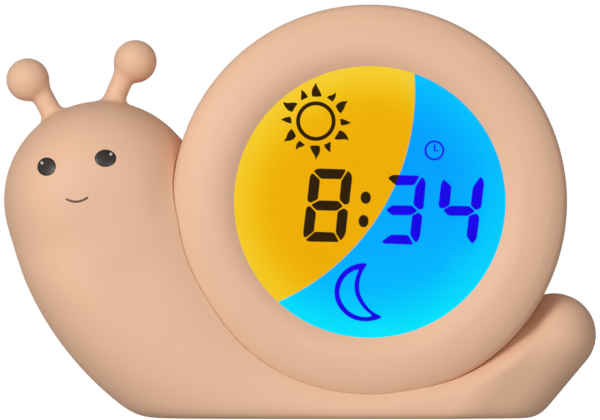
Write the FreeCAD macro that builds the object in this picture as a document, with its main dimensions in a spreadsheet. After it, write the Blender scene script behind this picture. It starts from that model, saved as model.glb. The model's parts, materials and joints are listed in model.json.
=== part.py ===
# Snail-shaped bedside alarm clock with a two-colour lit round display.
#
# Frame: millimetres, +Z up, the base rests on Z = 0.  The display faces -Y,
# the rear cover faces +Y, the head is towards -X and the tail towards +X.
# The origin is at the bottom centre of the overall box.
#
# The soft body is a hollow skin over two rigid core halves.  The round shell
# is a drum: a front ring, a rear half and a rear cover.  The drum holds the
# display stack, the electronics, the speaker and the battery.

import FreeCAD, Part
import math
import os
import Sketcher
from FreeCAD import Vector, Placement, Rotation

doc = FreeCAD.newDocument("snail_clock")

# ---------------------------------------------------------------- dimensions
sheet = doc.addObject("Spreadsheet::Sheet", "dims")

DIMS = [
    # shell (drum) axis and outer form
    ("disc_x", 21.1, "shell axis across"),
    ("disc_z", 66.0, "shell axis height"),
    ("ring_outer", 60.0, "shell outer radius"),
    ("ring_crest", 47.7, "radius of the ring's crest"),
    ("aperture", 41.3, "radius of the window opening"),
    ("shoulder", 55.1, "radius where the rim starts to turn"),
    ("turn", 58.6, "radius where the rim turns faster"),
    ("crest_y", 30.0, "crest in front of the mid plane"),
    ("aperture_y", 27.8, "window edge in front of the mid plane"),
    ("shoulder_y", 28.46, "shoulder in front of the mid plane"),
    ("turn_y", 26.35, "start of the rim's tighter turn"),
    ("rim_y", 23.44, "end of the rim's turn"),
    ("shell_wall", 2.4, "shell wall"),
    ("split_y", 2.0, "ring to rear half parting, in front of the mid plane"),
    ("rear_y", 28.9, "rear face behind the mid plane"),
    ("rear_round", 6.0, "rear edge rounding"),
    ("body_gap", 0.35, "seam between body and shell"),
    # body
    ("head_x", -60.39, "head centre"),
    ("head_z", 66.73, "head centre height"),
    ("head_a", 30.19, "head half length"),
    ("head_b", 31.4, "head half depth"),
    ("head_c", 30.13, "head half height"),
    ("chest_x", 3.47, "chest arc centre"),
    ("chest_z", 79.13, "chest arc centre height"),
    ("chest_rad", 95.02, "chest arc radius"),
    ("trunk_half", 28.4, "trunk half depth under the shell"),
    ("chest_half", 30.6, "trunk half depth at the chest"),
    ("trunk_round", 21.0, "trunk edge rounding at the chest"),
    ("tail_round", 11.0, "trunk edge rounding towards the tail"),
    ("tail_half", 23.5, "trunk half depth at the tail"),
    ("tail_flat", 9.5, "half width of the tail lobe's straight middle"),
    ("seam_dip", 0.6, "how much more the neck falls away beside the shell than the foot"),
    ("neck_drop", 1.4, "how much less deep the trunk is behind the chin"),
    ("tail_dip", 24.0, "depth number of the valley between shell and tail"),
    ("tail_x", 77.75, "tail lobe centre"),
    ("tail_z", 25.58, "tail lobe height"),
    ("tail_x2", 56.95, "tail root"),
    ("tail_z2", 0.7, "tail root height"),
    ("tail_rad", 12.45, "tail lobe radius"),
    ("skin_wall", 2.2, "soft skin wall"),
    ("core_gap", 0.4, "skin to core gap"),
    ("core_wall", 2.0, "core wall"),
    ("ball_rad", 6.55, "antenna ball radius"),
    ("stalk_rad", 3.25, "antenna stalk radius"),
    # display stack
    ("lens_r_out", 44.8, "window radius"),
    ("lens_thick", 1.5, "window thickness"),
    ("lens_y", 25.4, "window front face"),
    ("tape_thick", 0.3, "adhesive ring"),
    ("lcd_flat", 86.0, "display glass across flats"),
    ("lcd_thick", 2.2, "display glass sandwich"),
    ("lcd_y", 23.6, "display glass front face"),
    ("frame_in", 42.2, "display frame bore"),
    ("frame_out", 47.8, "display frame outer radius"),
    ("film_r_out", 41.9, "colour film radius"),
    ("film_thick", 0.2, "colour film"),
    ("diff_thick", 1.0, "diffuser"),
    ("divide_u", -56.2, "colour boundary arc centre from the axis, across"),
    ("divide_w", 33.6, "colour boundary arc centre from the axis, up"),
    ("divide_rad", 70.0, "colour boundary arc radius"),
    ("box_out", 44.2, "light box outer radius"),
    ("box_wall", 1.8, "light box wall"),
    ("box_front", 19.6, "light box front edge"),
    ("box_back", 11.0, "light box back face"),
    ("pcb_r_out", 48.5, "main board radius"),
    ("pcb_thick", 1.6, "main board thickness"),
    ("pcb_y", 10.8, "main board front face"),
    # rear cover and controls
    ("cover_r_out", 53.0, "rear cover radius"),
    ("cover_thick", 2.0, "rear cover thickness"),
    ("cover_y", 28.8, "rear cover outer face"),
    ("ledge_y", 26.7, "ledge the cover sits on"),
    ("rear_open", 46.5, "rear opening radius"),
    ("button_rad", 4.5, "button cap radius"),
    ("button_gap", 0.25, "button running gap"),
    ("button_up", 1.2, "button height above the cover"),
    ("button_pitch", 14.0, "button spacing"),
    ("button_w", -4.0, "button row below the axis"),
    ("stroke", 0.6, "button stroke"),
    ("slider_travel", 3.0, "power slider travel"),
    ("control_w", -20.0, "slider and socket row"),
    ("key_pcb_y", 17.9, "key board front face"),
    ("key_pcb_thick", 1.6, "key board thickness"),
    ("speaker_w", 24.0, "speaker above the axis"),
    ("speaker_rad", 14.0, "speaker frame radius"),
    ("cell_rad", 9.15, "battery cell radius"),
    ("cell_len", 65.0, "battery cell length"),
    ("cell_w", -17.5, "battery below the axis"),
    ("usb_wide", 8.94, "socket shell width"),
    ("usb_high", 3.2, "socket shell height"),
    # fasteners
    ("boss_r_pos", 50.0, "boss circle radius"),
    ("boss_rad", 3.5, "boss radius"),
    ("pilot_rad", 1.25, "pilot hole radius"),
    ("screw_rad", 1.2, "shank radius of the small screws"),
    ("screw_head", 2.2, "head radius of the small screws"),
]
sheet.set("A1", "dimension")
sheet.set("B1", "value")
sheet.set("C1", "meaning")
row = 2
for alias, value, words in DIMS:
    sheet.set("A%d" % row, alias)
    sheet.set("B%d" % row, repr(value))
    sheet.setAlias("B%d" % row, alias)
    sheet.set("C%d" % row, words)
    row += 1
doc.recompute()


def dim(alias):
    return float(sheet.get(alias))


nodes = []


def node(obj, label):
    obj.Label = label
    nodes.append(obj)
    return obj


# ------------------------------------------------------------ small builders
counter = [0]


def fresh(base):
    counter[0] += 1
    return "%s_%03d" % (base, counter[0])


def ex(value):
    """Sheet names in an expression stand for cells of the sheet."""
    text = value if isinstance(value, str) else repr(float(value))
    out = []
    word = ""
    for ch in text + " ":
        if ch.isalnum() or ch == "_":
            word += ch
        else:
            if word and word[0].isalpha() and word in ALIASES:
                out.append("dims." + word)
            else:
                out.append(word)
            word = ""
            out.append(ch)
    return "".join(out).strip()


ALIASES = set(d[0] for d in DIMS)


def bind(obj, prop, value):
    obj.setExpression(prop, ex(value))


def place(obj, x, y, z, rotation=None):
    if rotation is not None:
        obj.Placement = Placement(Vector(0, 0, 0), rotation)
    bind(obj, "Placement.Base.x", x)
    bind(obj, "Placement.Base.y", y)
    bind(obj, "Placement.Base.z", z)
    return obj


TO_Y = Rotation(Vector(1, 0, 0), -90)     # local +Z along +Y
TO_X = Rotation(Vector(0, 1, 0), 90)      # local +Z along +X


def cyl_y(rad, length, x, y, z):
    """Cylinder along +Y that starts at y."""
    o = doc.addObject("Part::Cylinder", fresh("cyl"))
    bind(o, "Radius", rad)
    bind(o, "Height", length)
    return place(o, x, y, z, TO_Y)


def cyl_x(rad, length, x, y, z):
    o = doc.addObject("Part::Cylinder", fresh("cyl"))
    bind(o, "Radius", rad)
    bind(o, "Height", length)
    return place(o, x, y, z, TO_X)


def cone_y(rad1, rad2, length, x, y, z):
    o = doc.addObject("Part::Cone", fresh("cone"))
    bind(o, "Radius1", rad1)
    bind(o, "Radius2", rad2)
    bind(o, "Height", length)
    return place(o, x, y, z, TO_Y)


def box(lx, ly, lz, cx, y, cz):
    """Box centred on cx and cz that starts at y and goes towards +Y."""
    o = doc.addObject("Part::Box", fresh("box"))
    bind(o, "Length", lx)
    bind(o, "Width", ly)
    bind(o, "Height", lz)
    return place(o, "(%s) - (%s) / 2" % (cx, lx), y, "(%s) - (%s) / 2" % (cz, lz))


def box_turned(lx, ly, lz, radius, degrees, y):
    """Box centred at a radius and angle on the shell axis, turned with it."""
    o = doc.addObject("Part::Box", fresh("box"))
    bind(o, "Length", lx)
    bind(o, "Width", ly)
    bind(o, "Height", lz)
    a = math.radians(degrees)
    o.Placement = Placement(Vector(0, 0, 0), Rotation(Vector(0, 1, 0), -degrees))
    c, s = math.cos(a), math.sin(a)
    bind(o, "Placement.Base.x", "disc_x + (%s) * %.9f - (%s) / 2 * %.9f + (%s) / 2 * %.9f" % (radius, c, lx, c, lz, s))
    bind(o, "Placement.Base.y", y)
    bind(o, "Placement.Base.z", "disc_z + (%s) * %.9f - (%s) / 2 * %.9f - (%s) / 2 * %.9f" % (radius, s, lx, s, lz, c))
    return o


def fuse(parts):
    if len(parts) == 1:
        return parts[0]
    o = doc.addObject("Part::MultiFuse", fresh("fuse"))
    o.Shapes = parts
    return o


def cut(base, tools):
    o = doc.addObject("Part::Cut", fresh("cut"))
    o.Base = base
    o.Tool = fuse(tools)
    return o


def common(parts):
    o = doc.addObject("Part::MultiCommon", fresh("common"))
    o.Shapes = parts
    return o


def group(parts):
    o = doc.addObject("Part::Compound", fresh("group"))
    o.Links = parts
    return o


def at_x(u):
    return "disc_x + (%s)" % u


def at_z(w):
    return "disc_z + (%s)" % w


def polar(radius, degrees):
    """Expressions for a point on the drum's face at a radius and an angle."""
    a = math.radians(degrees)
    return ("disc_x + (%s) * %.9f" % (radius, math.cos(a)),
            "disc_z + (%s) * %.9f" % (radius, math.sin(a)))


def revolved(label, profile, arcs=None):
    """Body of revolution about the shell axis.

    profile is a list of (radius, depth) expressions, depth measured along +Y;
    arcs maps a segment's index to (radius expression, side) for a round.
    """
    arcs = arcs or {}
    body = doc.addObject("PartDesign::Body", fresh(label + "_body"))
    plane = [f for f in body.Origin.OriginFeatures if f.Role == "XY_Plane"][0]
    sk = body.newObject("Sketcher::SketchObject", fresh(label + "_profile"))
    sk.AttachmentSupport = [(plane, "")]
    sk.MapMode = "FlatFace"
    pts = []
    for r, y in profile:
        pts.append(Vector(value_of(r), value_of(y), 0))
    n = len(pts)
    for i in range(n):
        p, q = pts[i], pts[(i + 1) % n]
        if i in arcs:
            rad, side = arcs[i]
            rad_v = value_of(rad)
            mid = (p + q) * 0.5
            half = (q - p).Length / 2.0
            d = (q - p).normalize()
            nrm = Vector(-d.y, d.x, 0) * side
            off = math.sqrt(max(rad_v * rad_v - half * half, 0.0))
            centre = mid - nrm * off
            bulge = mid + nrm * (rad_v - off)
            a0, a1 = arc_range(centre, p, bulge, q)
            sk.addGeometry(Part.ArcOfCircle(Part.Circle(centre, Vector(0, 0, 1), rad_v), a0, a1), False)
        else:
            sk.addGeometry(Part.LineSegment(p, q), False)
    # which end of each piece is its start: an arc may run the other way
    ends = []
    for i in range(n):
        g = sk.Geometry[i]
        ends.append((1, 2) if (g.StartPoint - pts[i]).Length < 1e-6 else (2, 1))
    for i in range(n):
        j = (i + 1) % n
        sk.addConstraint(Sketcher.Constraint("Coincident", i, ends[i][1], j, ends[j][0]))
    for i in range(n):
        r, y = profile[i]
        k = sk.addConstraint(Sketcher.Constraint("DistanceX", -1, 1, i, ends[i][0], pts[i].x))
        sk.setExpression("Constraints[%d]" % k, ex(r))
        if abs(pts[i].y) < 1e-9:
            sk.addConstraint(Sketcher.Constraint("PointOnObject", i, ends[i][0], -1))
        else:
            k = sk.addConstraint(Sketcher.Constraint("DistanceY", -1, 1, i, ends[i][0], pts[i].y))
            sk.setExpression("Constraints[%d]" % k, ex(y))
    for i in arcs:
        k = sk.addConstraint(Sketcher.Constraint("Radius", i, value_of(arcs[i][0])))
        sk.setExpression("Constraints[%d]" % k, ex(arcs[i][0]))
    rev = body.newObject("PartDesign::Revolution", fresh(label + "_turn"))
    rev.Profile = sk
    rev.ReferenceAxis = (sk, ["V_Axis"])
    rev.Angle = 360.0
    body.Tip = rev
    place(body, "disc_x", 0, "disc_z")
    return body


def arc_range(centre, p, mid, q):
    """Start and end angles, counter-clockwise, of the arc from p over mid to q."""
    a = math.atan2(p.y - centre.y, p.x - centre.x)
    b = math.atan2(q.y - centre.y, q.x - centre.x)
    m = math.atan2(mid.y - centre.y, mid.x - centre.x)
    two = 2 * math.pi
    if (m - a) % two < (b - a) % two:
        return (a, a + (b - a) % two)
    return (b, b + (a - b) % two)


def value_of(expr):
    """Number for an expression made of sheet names, numbers and + - * /."""
    text = expr if isinstance(expr, str) else repr(float(expr))
    scratch.set("A1", "=" + ex(text))
    scratch.recompute()
    return float(scratch.get("A1"))


scratch = doc.addObject("Spreadsheet::Sheet", "working")

# ------------------------------------------------------------ the body's form
# The soft body is one smooth form: an ellipsoid head, a trunk whose side
# outline is a large arc and whose front and back are rounded, and a tail that
# is a leaning round lobe.  Level surfaces at several depths under the skin
# give the skin's inner face and the core's two faces.

HX, HZ = dim("head_x"), dim("head_z")
HA, HB, HC = dim("head_a"), dim("head_b"), dim("head_c")
CX, CZ, CR = dim("chest_x"), dim("chest_z"), dim("chest_rad")
TH, TR, TT, TR2 = dim("trunk_half"), dim("trunk_round"), dim("tail_half"), dim("tail_round")
TC, DROP = dim("chest_half"), dim("neck_drop")
TX, TZ, TX2, TZ2, TRAD = dim("tail_x"), dim("tail_z"), dim("tail_x2"), dim("tail_z2"), dim("tail_rad")
TFLAT, DIP, VALLEY = dim("tail_flat"), dim("seam_dip"), dim("tail_dip")
dim_x, dim_z = dim("disc_x"), dim("disc_z")


def soft_min(a, b, k):
    h = max(k - abs(a - b), 0.0) / k
    return min(a, b) - h * h * h * k / 6.0


def soft_max(a, b, k):
    return -soft_min(-a, -b, k)


def ease(t):
    t = min(max(t, 0.0), 1.0)
    return t * t * (3.0 - 2.0 * t)


def trunk_depth(x, z):
    q = min(max((x - 25.0) / 60.0, 0.0), 1.0)
    drop = DROP * ease((z - 32.0) / 34.0) * ease((x + 59.0) / 20.0)
    return TH + (TT - TH) * q * q + (TC - TH) * ease((-5.0 - x) / 45.0) - drop


def seam_dip(x, z):
    """The body falls away beside the shell.

    Shallow next to the neck and under the shell, and a narrow deep valley
    next to the tail.
    """
    turn = math.degrees(math.atan2(z - dim_z, x - dim_x)) % 360.0
    away = math.hypot(x - dim_x, z - dim_z) - 58.0
    wide = 13.0 - 6.5 * ease((turn - 220.0) / 50.0) + 2.5 * ease((turn - 285.0) / 40.0)
    t = min(max(1.0 - away / wide, 0.0), 1.0)
    deep = 1.7 + DIP * ease((225.0 - turn) / 35.0) + VALLEY * ease((turn - 280.0) / 56.0) ** 1.2
    return deep * t ** 2.2


def form(x, y, z):
    y = abs(y) * (1.0 + seam_dip(x, z) / 27.0)
    # head: round seen from the front, a little flattened in front and behind;
    # inside the drum it is drawn out, where the drum cuts it away
    hx = x if x < -35.5 else -35.5 + (x + 35.5) * 0.2
    flat = math.hypot((hx - HX) / HA, (z - HZ) / HC)
    v = y / HB
    k = (flat ** 2.5 + v ** 2.5) ** 0.4
    g = math.hypot((flat / max(k, 1e-3)) ** 1.5 / 30.16, (v / max(k, 1e-3)) ** 1.5 / HB)
    head = (k - 1.0) / max(g, 1e-3)
    # trunk: chest arc on the head's side, level under the foot, a sloping end
    # inside the tail lobe; its top is hidden inside the head and the drum
    if x < CX:
        side = math.hypot(x - CX, z - CZ) - CR
    else:
        side = CZ - CR - z
    rise = -0.4618 * (x + 86.0) + 0.8870 * (z - 55.95)
    fall = 0.5735 * (x - 20.0) + 0.8192 * (z - 62.0)
    end = 0.768 * (x - TX) - 0.640 * (z - TZ) - 1.5
    outline = soft_max(side, rise, 20.0)
    outline = soft_max(outline, z - 84.0, 12.0)
    outline = soft_max(outline, fall, 14.0)
    outline = soft_max(outline, end, 10.0)
    d = trunk_depth(x, z)
    yy = y * TH / d
    rnd = TR + (TR2 - TR) * ease((x + 10.0) / 55.0)
    q0, q1 = outline + rnd, yy - (TH - rnd)
    trunk = math.hypot(max(q0, 0.0), max(q1, 0.0)) + min(max(q0, q1), 0.0) - rnd
    trunk *= d / TH
    # tail lobe
    ax, az = TX2 - TX, TZ2 - TZ
    px, pz = x - TX, z - TZ
    s = min(max((px * ax + pz * az) / (ax * ax + az * az), 0.0), 1.0)
    ty = max(y - TFLAT, 0.0)
    tail = math.sqrt((px - ax * s) ** 2 + ty * ty + (pz - az * s) ** 2) - TRAD
    return soft_min(soft_min(head, trunk, 8.0), tail, 12.0)


SECTIONS = [-80.5, -76, -71, -66, -60, -54, -48.5, -44, -40, -36.5, -33, -29, -25, -21,
            -17, -13, -9, -4, 3, 10, 18, 26, 34, 42, 48, 53, 57.5, 61.5, 65, 68.5, 71.5, 74.5, 77.5]


def section(x, level, count):
    """Closed curve where the form's level surface crosses the plane at x."""
    step = 0.5
    zs = [z * step for z in range(-60, 230) if form(x, 0.0, z * step) < level]
    low, high = min(zs), max(zs)
    zc = 0.5 * (low + high)
    pts = []
    for i in range(count):
        a = -math.pi / 2 + 2 * math.pi * i / count
        cy, cz = math.cos(a), math.sin(a)
        lo, hi = 0.0, 90.0
        # walk outwards first so that the nearest crossing is the one found
        t = 0.0
        while t < 90.0 and form(x, cy * t, zc + cz * t) < level:
            t += 1.0
        lo, hi = max(t - 1.0, 0.0), t
        for _ in range(28):
            mid = 0.5 * (lo + hi)
            if form(x, cy * mid, zc + cz * mid) < level:
                lo = mid
            else:
                hi = mid
        pts.append(Vector(x, cy * lo, zc + cz * lo))
    return pts


def level_solid(level, ends):
    """Solid inside one level surface, lofted through cross sections along X.

    The bands between neighbouring sections are ruled.  The two round ends
    (forehead side and tail tip) have sections that shrink towards the tips.
    """
    xmin = x_end(level, -1)
    xmax = x_end(level, +1)
    xs = []
    for f in ends:
        xs.append(xmin + f)
    xs += [x for x in SECTIONS if x > xs[-1] + 1.5 and x < xmax - ends[-1] - 1.5]
    xs += [xmax - f for f in reversed(ends)]
    count = 40
    wires = []
    for x in xs:
        pts = section(x, level, count)
        c = Part.BSplineCurve()
        c.interpolate(Points=pts, PeriodicFlag=True)
        wires.append(Part.Wire([c.toShape()]))
    solid = Part.makeLoft(wires, True, True)
    return solid


def x_end(level, side):
    """The form's furthest point at a level, along the head or tail axis."""
    best = None
    z = 10.0
    while z < 90.0:
        x = -60.0 if side < 0 else 78.0
        if form(x, 0.0, z) < level:
            lo, hi = 0.0, 60.0
            for _ in range(30):
                mid = 0.5 * (lo + hi)
                if form(x + side * mid, 0.0, z) < level:
                    lo = mid
                else:
                    hi = mid
            xe = x + side * lo
            if best is None or side * xe > side * best:
                best = xe
        z += 1.0
    return best


def slab(z0, z1, y0=-60.0, y1=60.0):
    return Part.makeBox(260, y1 - y0, z1 - z0, Vector(-130, y0, z0))


def drum_tool(radius):
    """The shell's room in the body: its wall and both rounded rims, grown."""
    off = radius - dim("ring_outer")
    rr = dim("rear_round")
    yr = dim("rear_y") - rr
    r0, y0 = dim("shoulder"), -dim("shoulder_y")
    r1, y1 = dim("turn"), -dim("turn_y")
    r2, y2 = dim("ring_outer"), -dim("rim_y")

    def at(r, y):
        return Vector(dim("disc_x") + r, y, dim("disc_z"))

    def grown(ra, ya, rb, yb, rad):
        """Arc from a to b, bulging outwards, moved out by the growth."""
        mr, my = 0.5 * (ra + rb), 0.5 * (ya + yb)
        half = 0.5 * math.hypot(rb - ra, yb - ya)
        away = math.sqrt(rad * rad - half * half)
        cr, cy = mr - away * (yb - ya) / (2 * half), my + away * (rb - ra) / (2 * half)
        a0, a1 = math.atan2(ya - cy, ra - cr), math.atan2(yb - cy, rb - cr)
        return [at(cr + (rad + off) * math.cos(a), cy + (rad + off) * math.sin(a))
                for a in (a0, 0.5 * (a0 + a1), a1)]

    s, m, e = grown(r0, y0, r1, y1, 12.4)
    e0, m1, e1 = grown(r1, y1, r2, y2, 4.0)
    e1 = at(radius, e1.y)
    s2 = at(radius, yr)
    m2 = at(r2 - rr + (rr + off) * math.cos(math.pi / 4), yr + (rr + off) * math.sin(math.pi / 4))
    e2 = at(r2 - rr, yr + rr + off)
    low, top = at(0, -70), at(0, 70)
    f0 = Vector(s.x, -70, s.z)
    t0 = Vector(e2.x, 70, e2.z)
    edges = [Part.LineSegment(low, f0).toShape(), Part.LineSegment(f0, s).toShape(),
             Part.Arc(s, m, e).toShape(), Part.Arc(e, m1, e1).toShape(), Part.LineSegment(e1, s2).toShape(),
             Part.Arc(s2, m2, e2).toShape(), Part.LineSegment(e2, t0).toShape(),
             Part.LineSegment(t0, top).toShape(), Part.LineSegment(top, low).toShape()]
    face = Part.Face(Part.Wire(edges))
    return face.revolve(at(0, 0), Vector(0, 1, 0), 360)


WALL = dim("skin_wall")
GAP = dim("core_gap")
COREW = dim("core_wall")
ENDS = [0.08, 0.4, 1.0, 2.0, 3.4, 5.2, 7.4]

outer = level_solid(0.0, ENDS).common(slab(0.0, 140.0))
skin_in = level_solid(-WALL, ENDS).common(slab(WALL, 140.0))
core_out = level_solid(-(WALL + GAP), ENDS).common(slab(WALL + GAP, 140.0))
core_in = level_solid(-(WALL + GAP + COREW), ENDS).common(slab(WALL + GAP + COREW, 140.0))
drum = drum_tool(dim("ring_outer") + dim("body_gap"))

# antennae: stalks and balls, solid, in one piece with the skin
ANTENNAE = [((-75.1, 91.4), (-80.9, 102.2), (-83.4, 103.4)), ((-58.5, 93.8), (-52.6, 107.7), (-50.5, 109.0))]
feelers = []
for (x0, z0), (x1, z1), (x2, z2) in ANTENNAE:
    a, b = Vector(x0, 0, z0), Vector(x1, 0, z1)
    root = a - (b - a).normalize() * 1.0
    feelers.append(Part.makeCylinder(dim("stalk_rad"), (b - root).Length, root, b - root))
    feelers.append(Part.makeSphere(dim("ball_rad"), Vector(x2, 0, z2)))
    # a small flare where the stalk leaves the head
    feelers.append(Part.makeCone(dim("stalk_rad") + 1.6, dim("stalk_rad"), 3.4, a - (b - a).normalize() * 0.6, b - a))
skin = outer.cut(skin_in)
for f in feelers:
    skin = skin.fuse(f.cut(core_out))
skin = skin.cut(drum)

# rigid core under the skin, hollow, closed towards the drum by a curved wall
core = core_out.cut(drum).cut(core_in.cut(drum_tool(dim("ring_outer") + dim("body_gap") + COREW)))

# screw columns across the core (head, chest, tail) and towards the drum
COLUMNS = [(-62.0, 70.0), (-47.0, 30.0), (77.0, 24.5)]
blank = core_out.cut(drum)
for x, z in COLUMNS:
    core = core.fuse(Part.makeCylinder(4.0, 80, Vector(x, -40, z), Vector(0, 1, 0)).common(blank))
AXIS = Vector(dim("disc_x"), 0, dim("disc_z"))
CRADLE = [178.0, 212.0, 304.0]
CRADLE_Y = 7.0
for deg in CRADLE:
    a = math.radians(deg)
    d = Vector(math.cos(a), 0, math.sin(a))
    start = AXIS + Vector(0, CRADLE_Y, 0) + d * 55.0
    core = core.fuse(Part.makeCylinder(3.4, 17.5, start, d).common(blank))
front_half = core.common(slab(-5, 140, -60.0, -0.03))
rear_half = core.common(slab(-5, 140, 0.03, 60.0))
for x, z in COLUMNS:
    front_half = front_half.cut(Part.makeCylinder(1.25, 9.6, Vector(x, -9.6, z), Vector(0, 1, 0)))
    rear_half = rear_half.cut(Part.makeCylinder(1.7, 60, Vector(x, -1, z), Vector(0, 1, 0)))
    rear_half = rear_half.cut(Part.makeCylinder(2.9, 60, Vector(x, 4.0, z), Vector(0, 1, 0)))
for deg in CRADLE:
    a = math.radians(deg)
    d = Vector(math.cos(a), 0, math.sin(a))
    start = AXIS + Vector(0, CRADLE_Y, 0) + d * 55.0
    rear_half = rear_half.cut(Part.makeCylinder(1.25, 14.5, start, d))


def feature(label, shape):
    o = doc.addObject("Part::Feature", label)
    o.Shape = shape
    o.Placement = Placement()
    return node(o, label)


def biggest(shape):
    return max(shape.Solids, key=lambda s: s.Volume)


feature("silicone_body", biggest(skin))
feature("core_front", biggest(front_half))
feature("core_rear", biggest(rear_half))

# screws that join the core halves, one group of separate solids
screws = []
for x, z in COLUMNS:
    s = Part.makeCylinder(1.2, 12.6, Vector(x, -8.6, z), Vector(0, 1, 0))
    s = s.fuse(Part.makeCylinder(2.6, 1.9, Vector(x, 4.0, z), Vector(0, 1, 0)))
    screws.append(s)
feature("core_screws", Part.makeCompound(screws))

# radial screws from inside the drum into the core
screws = []
for deg in CRADLE:
    a = math.radians(deg)
    d = Vector(math.cos(a), 0, math.sin(a))
    c = AXIS + Vector(0, CRADLE_Y, 0)
    s = Part.makeCylinder(1.2, 11.0, c + d * 57.55, d)
    s = s.fuse(Part.makeCylinder(2.4, 1.7, c + d * 55.85, d))
    screws.append(s)
feature("cradle_screws", Part.makeCompound(screws))

# ------------------------------------------------------------------ the shell
# Front ring: window edge, inner slope, crest, convex face, rounded rim, wall.
ring_profile = [
    ("aperture", "-aperture_y"),
    ("ring_crest", "-crest_y"),
    ("shoulder", "-shoulder_y"),
    ("turn", "-turn_y"),
    ("ring_outer", "-rim_y"),
    ("ring_outer", "-split_y"),
    ("ring_outer - shell_wall", "-split_y"),
    ("ring_outer - shell_wall", "-rim_y + 0.3"),
    ("turn - 1.5", "-turn_y + 1.7"),
    ("shoulder - 0.9", "-shoulder_y + 2.4"),
    ("ring_crest + 0.9", "-crest_y + 2.6"),
    ("lens_r_out + 0.4", "-lens_y + 0.1"),
    ("lens_r_out + 0.4", "-lens_y - tape_thick"),
    ("aperture", "-lens_y - tape_thick"),
]
ring = revolved("shell_ring", ring_profile, arcs={
    0: ("11.0", -1), 1: ("22.3", -1), 2: ("12.4", -1), 3: ("4.0", -1)})
doc.recompute()

RING_BOSS_END = "-split_y - 1.0"
parts = [ring]
cuts = []
for deg in (45, 135, 225, 315):
    x, z = polar("boss_r_pos", deg)
    parts.append(cyl_y("boss_rad", "crest_y - 2.6 - split_y - 1.0", x, "-crest_y + 2.6", z))
    parts.append(box_turned("6.0", "crest_y - 4.6 - split_y - 3.4", "1.6", "boss_r_pos + 5.0", deg, "-crest_y + 4.6"))
    cuts.append(cyl_y("pilot_rad", "14.0", x, "-split_y - 14.9", z))
for deg in (0, 90, 180, 270):
    x, z = polar("boss_r_pos", deg)
    parts.append(cyl_y("boss_rad - 0.3", "4.6", x, "-crest_y + 2.9", z))
    cuts.append(cyl_y("pilot_rad", "4.3", x, "-crest_y + 3.3", z))
node(cut(fuse(parts), cuts), "shell_ring")

# Rear half: tongue inside the ring's wall, drum wall, rounded rear edge,
# cover recess and ledge.
rear_profile = [
    ("ring_outer", "-split_y + 0.2"),
    ("ring_outer", "rear_y - rear_round"),
    ("ring_outer - rear_round", "rear_y"),
    ("cover_r_out + 0.3", "rear_y"),
    ("cover_r_out + 0.3", "ledge_y"),
    ("rear_open", "ledge_y"),
    ("rear_open", "ledge_y - 2.0"),
    ("ring_outer - shell_wall - 1.4", "ledge_y - 2.0"),
    ("ring_outer - shell_wall", "rear_y - rear_round - 0.6"),
    ("ring_outer - shell_wall", "-split_y + 2.2"),
    ("ring_outer - shell_wall - 1.8", "-split_y + 0.8"),
    ("ring_outer - shell_wall - 1.8", "-split_y - 3.0"),
    ("ring_outer - shell_wall - 0.2", "-split_y - 3.0"),
    ("ring_outer - shell_wall - 0.2", "-split_y + 0.2"),
]
rear = revolved("shell_rear", rear_profile, arcs={1: ("rear_round", -1)})
doc.recompute()
parts = [rear]
cuts = []
for deg in (45, 135, 225, 315):
    x, z = polar("boss_r_pos", deg)
    parts.append(cyl_y("boss_rad + 0.6", "ledge_y - 1.0 + split_y + 0.6", x, "-split_y - 0.6", z))
    # rib from the column to the drum wall, behind the tongue
    parts.append(box_turned("5.6", "ledge_y - 6.0", "1.6", "boss_r_pos + 5.4", deg, "4.0"))
    cuts.append(cyl_y("1.6", "40.0", x, "-10.0", z))
    cuts.append(cyl_y("2.9", "6.0", x, "ledge_y - 3.4", z))
for deg in (0, 90, 180, 270):
    x, z = polar("boss_r_pos", deg)
    parts.append(cyl_y("boss_rad - 0.3", "9.0", x, "ledge_y - 10.0", z))
    cuts.append(cyl_y("pilot_rad", "9.2", x, "ledge_y - 9.0", z))
for deg in CRADLE:
    a = math.radians(deg)
    o = doc.addObject("Part::Cylinder", fresh("cyl"))
    o.Radius = 1.6
    o.Height = 8.0
    d = Vector(math.cos(a), 0, math.sin(a))
    o.Placement = Placement(AXIS + Vector(0, CRADLE_Y, 0) + d * 54.0, Rotation(Vector(0, 0, 1), d))
    cuts.append(o)
node(cut(fuse(parts), cuts), "shell_rear")

# long screws that hold ring and rear half together, heads under the cover
screws = []
for deg in (45, 135, 225, 315):
    x, z = polar("boss_r_pos", deg)
    screws.append(fuse([
        cyl_y("screw_rad", "ledge_y - 3.0 + split_y + 13.0", x, "-split_y - 13.0", z),
        cyl_y("2.6", "2.0", x, "ledge_y - 3.35", z)]))
node(group(screws), "shell_screws")

# ------------------------------------------------------------- display stack
node(cut(cyl_y("lens_r_out - 0.2", "tape_thick - 0.04", "disc_x", "-lens_y - tape_thick + 0.02", "disc_z"),
         [cyl_y("aperture + 0.6", "2.0", "disc_x", "-lens_y - 1.0", "disc_z")]), "lens_tape")
node(cyl_y("lens_r_out", "lens_thick", "disc_x", "-lens_y", "disc_z"), "display_lens")


def octagon(flat, y, length):
    """Octagonal plate across flats, with flats up, down and to the sides."""
    a = box(flat, length, flat, "disc_x", y, "disc_z")
    b = doc.addObject("Part::Box", fresh("box"))
    bind(b, "Length", flat)
    bind(b, "Width", length)
    bind(b, "Height", flat)
    b.Placement = Placement(Vector(0, 0, 0), Rotation(Vector(0, 1, 0), 45))
    # corner offset of the turned square from its centre
    r = "(%s) / 1.414213562" % flat
    bind(b, "Placement.Base.x", "disc_x - %s" % r)
    bind(b, "Placement.Base.y", y)
    bind(b, "Placement.Base.z", "disc_z")
    return common([a, b])


node(octagon("lcd_flat", "-lcd_y", "lcd_thick"), "lcd_panel")

notches = []
for deg in (45, 135, 225, 315):
    x, z = polar("boss_r_pos", deg)
    notches.append((x, z))

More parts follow.
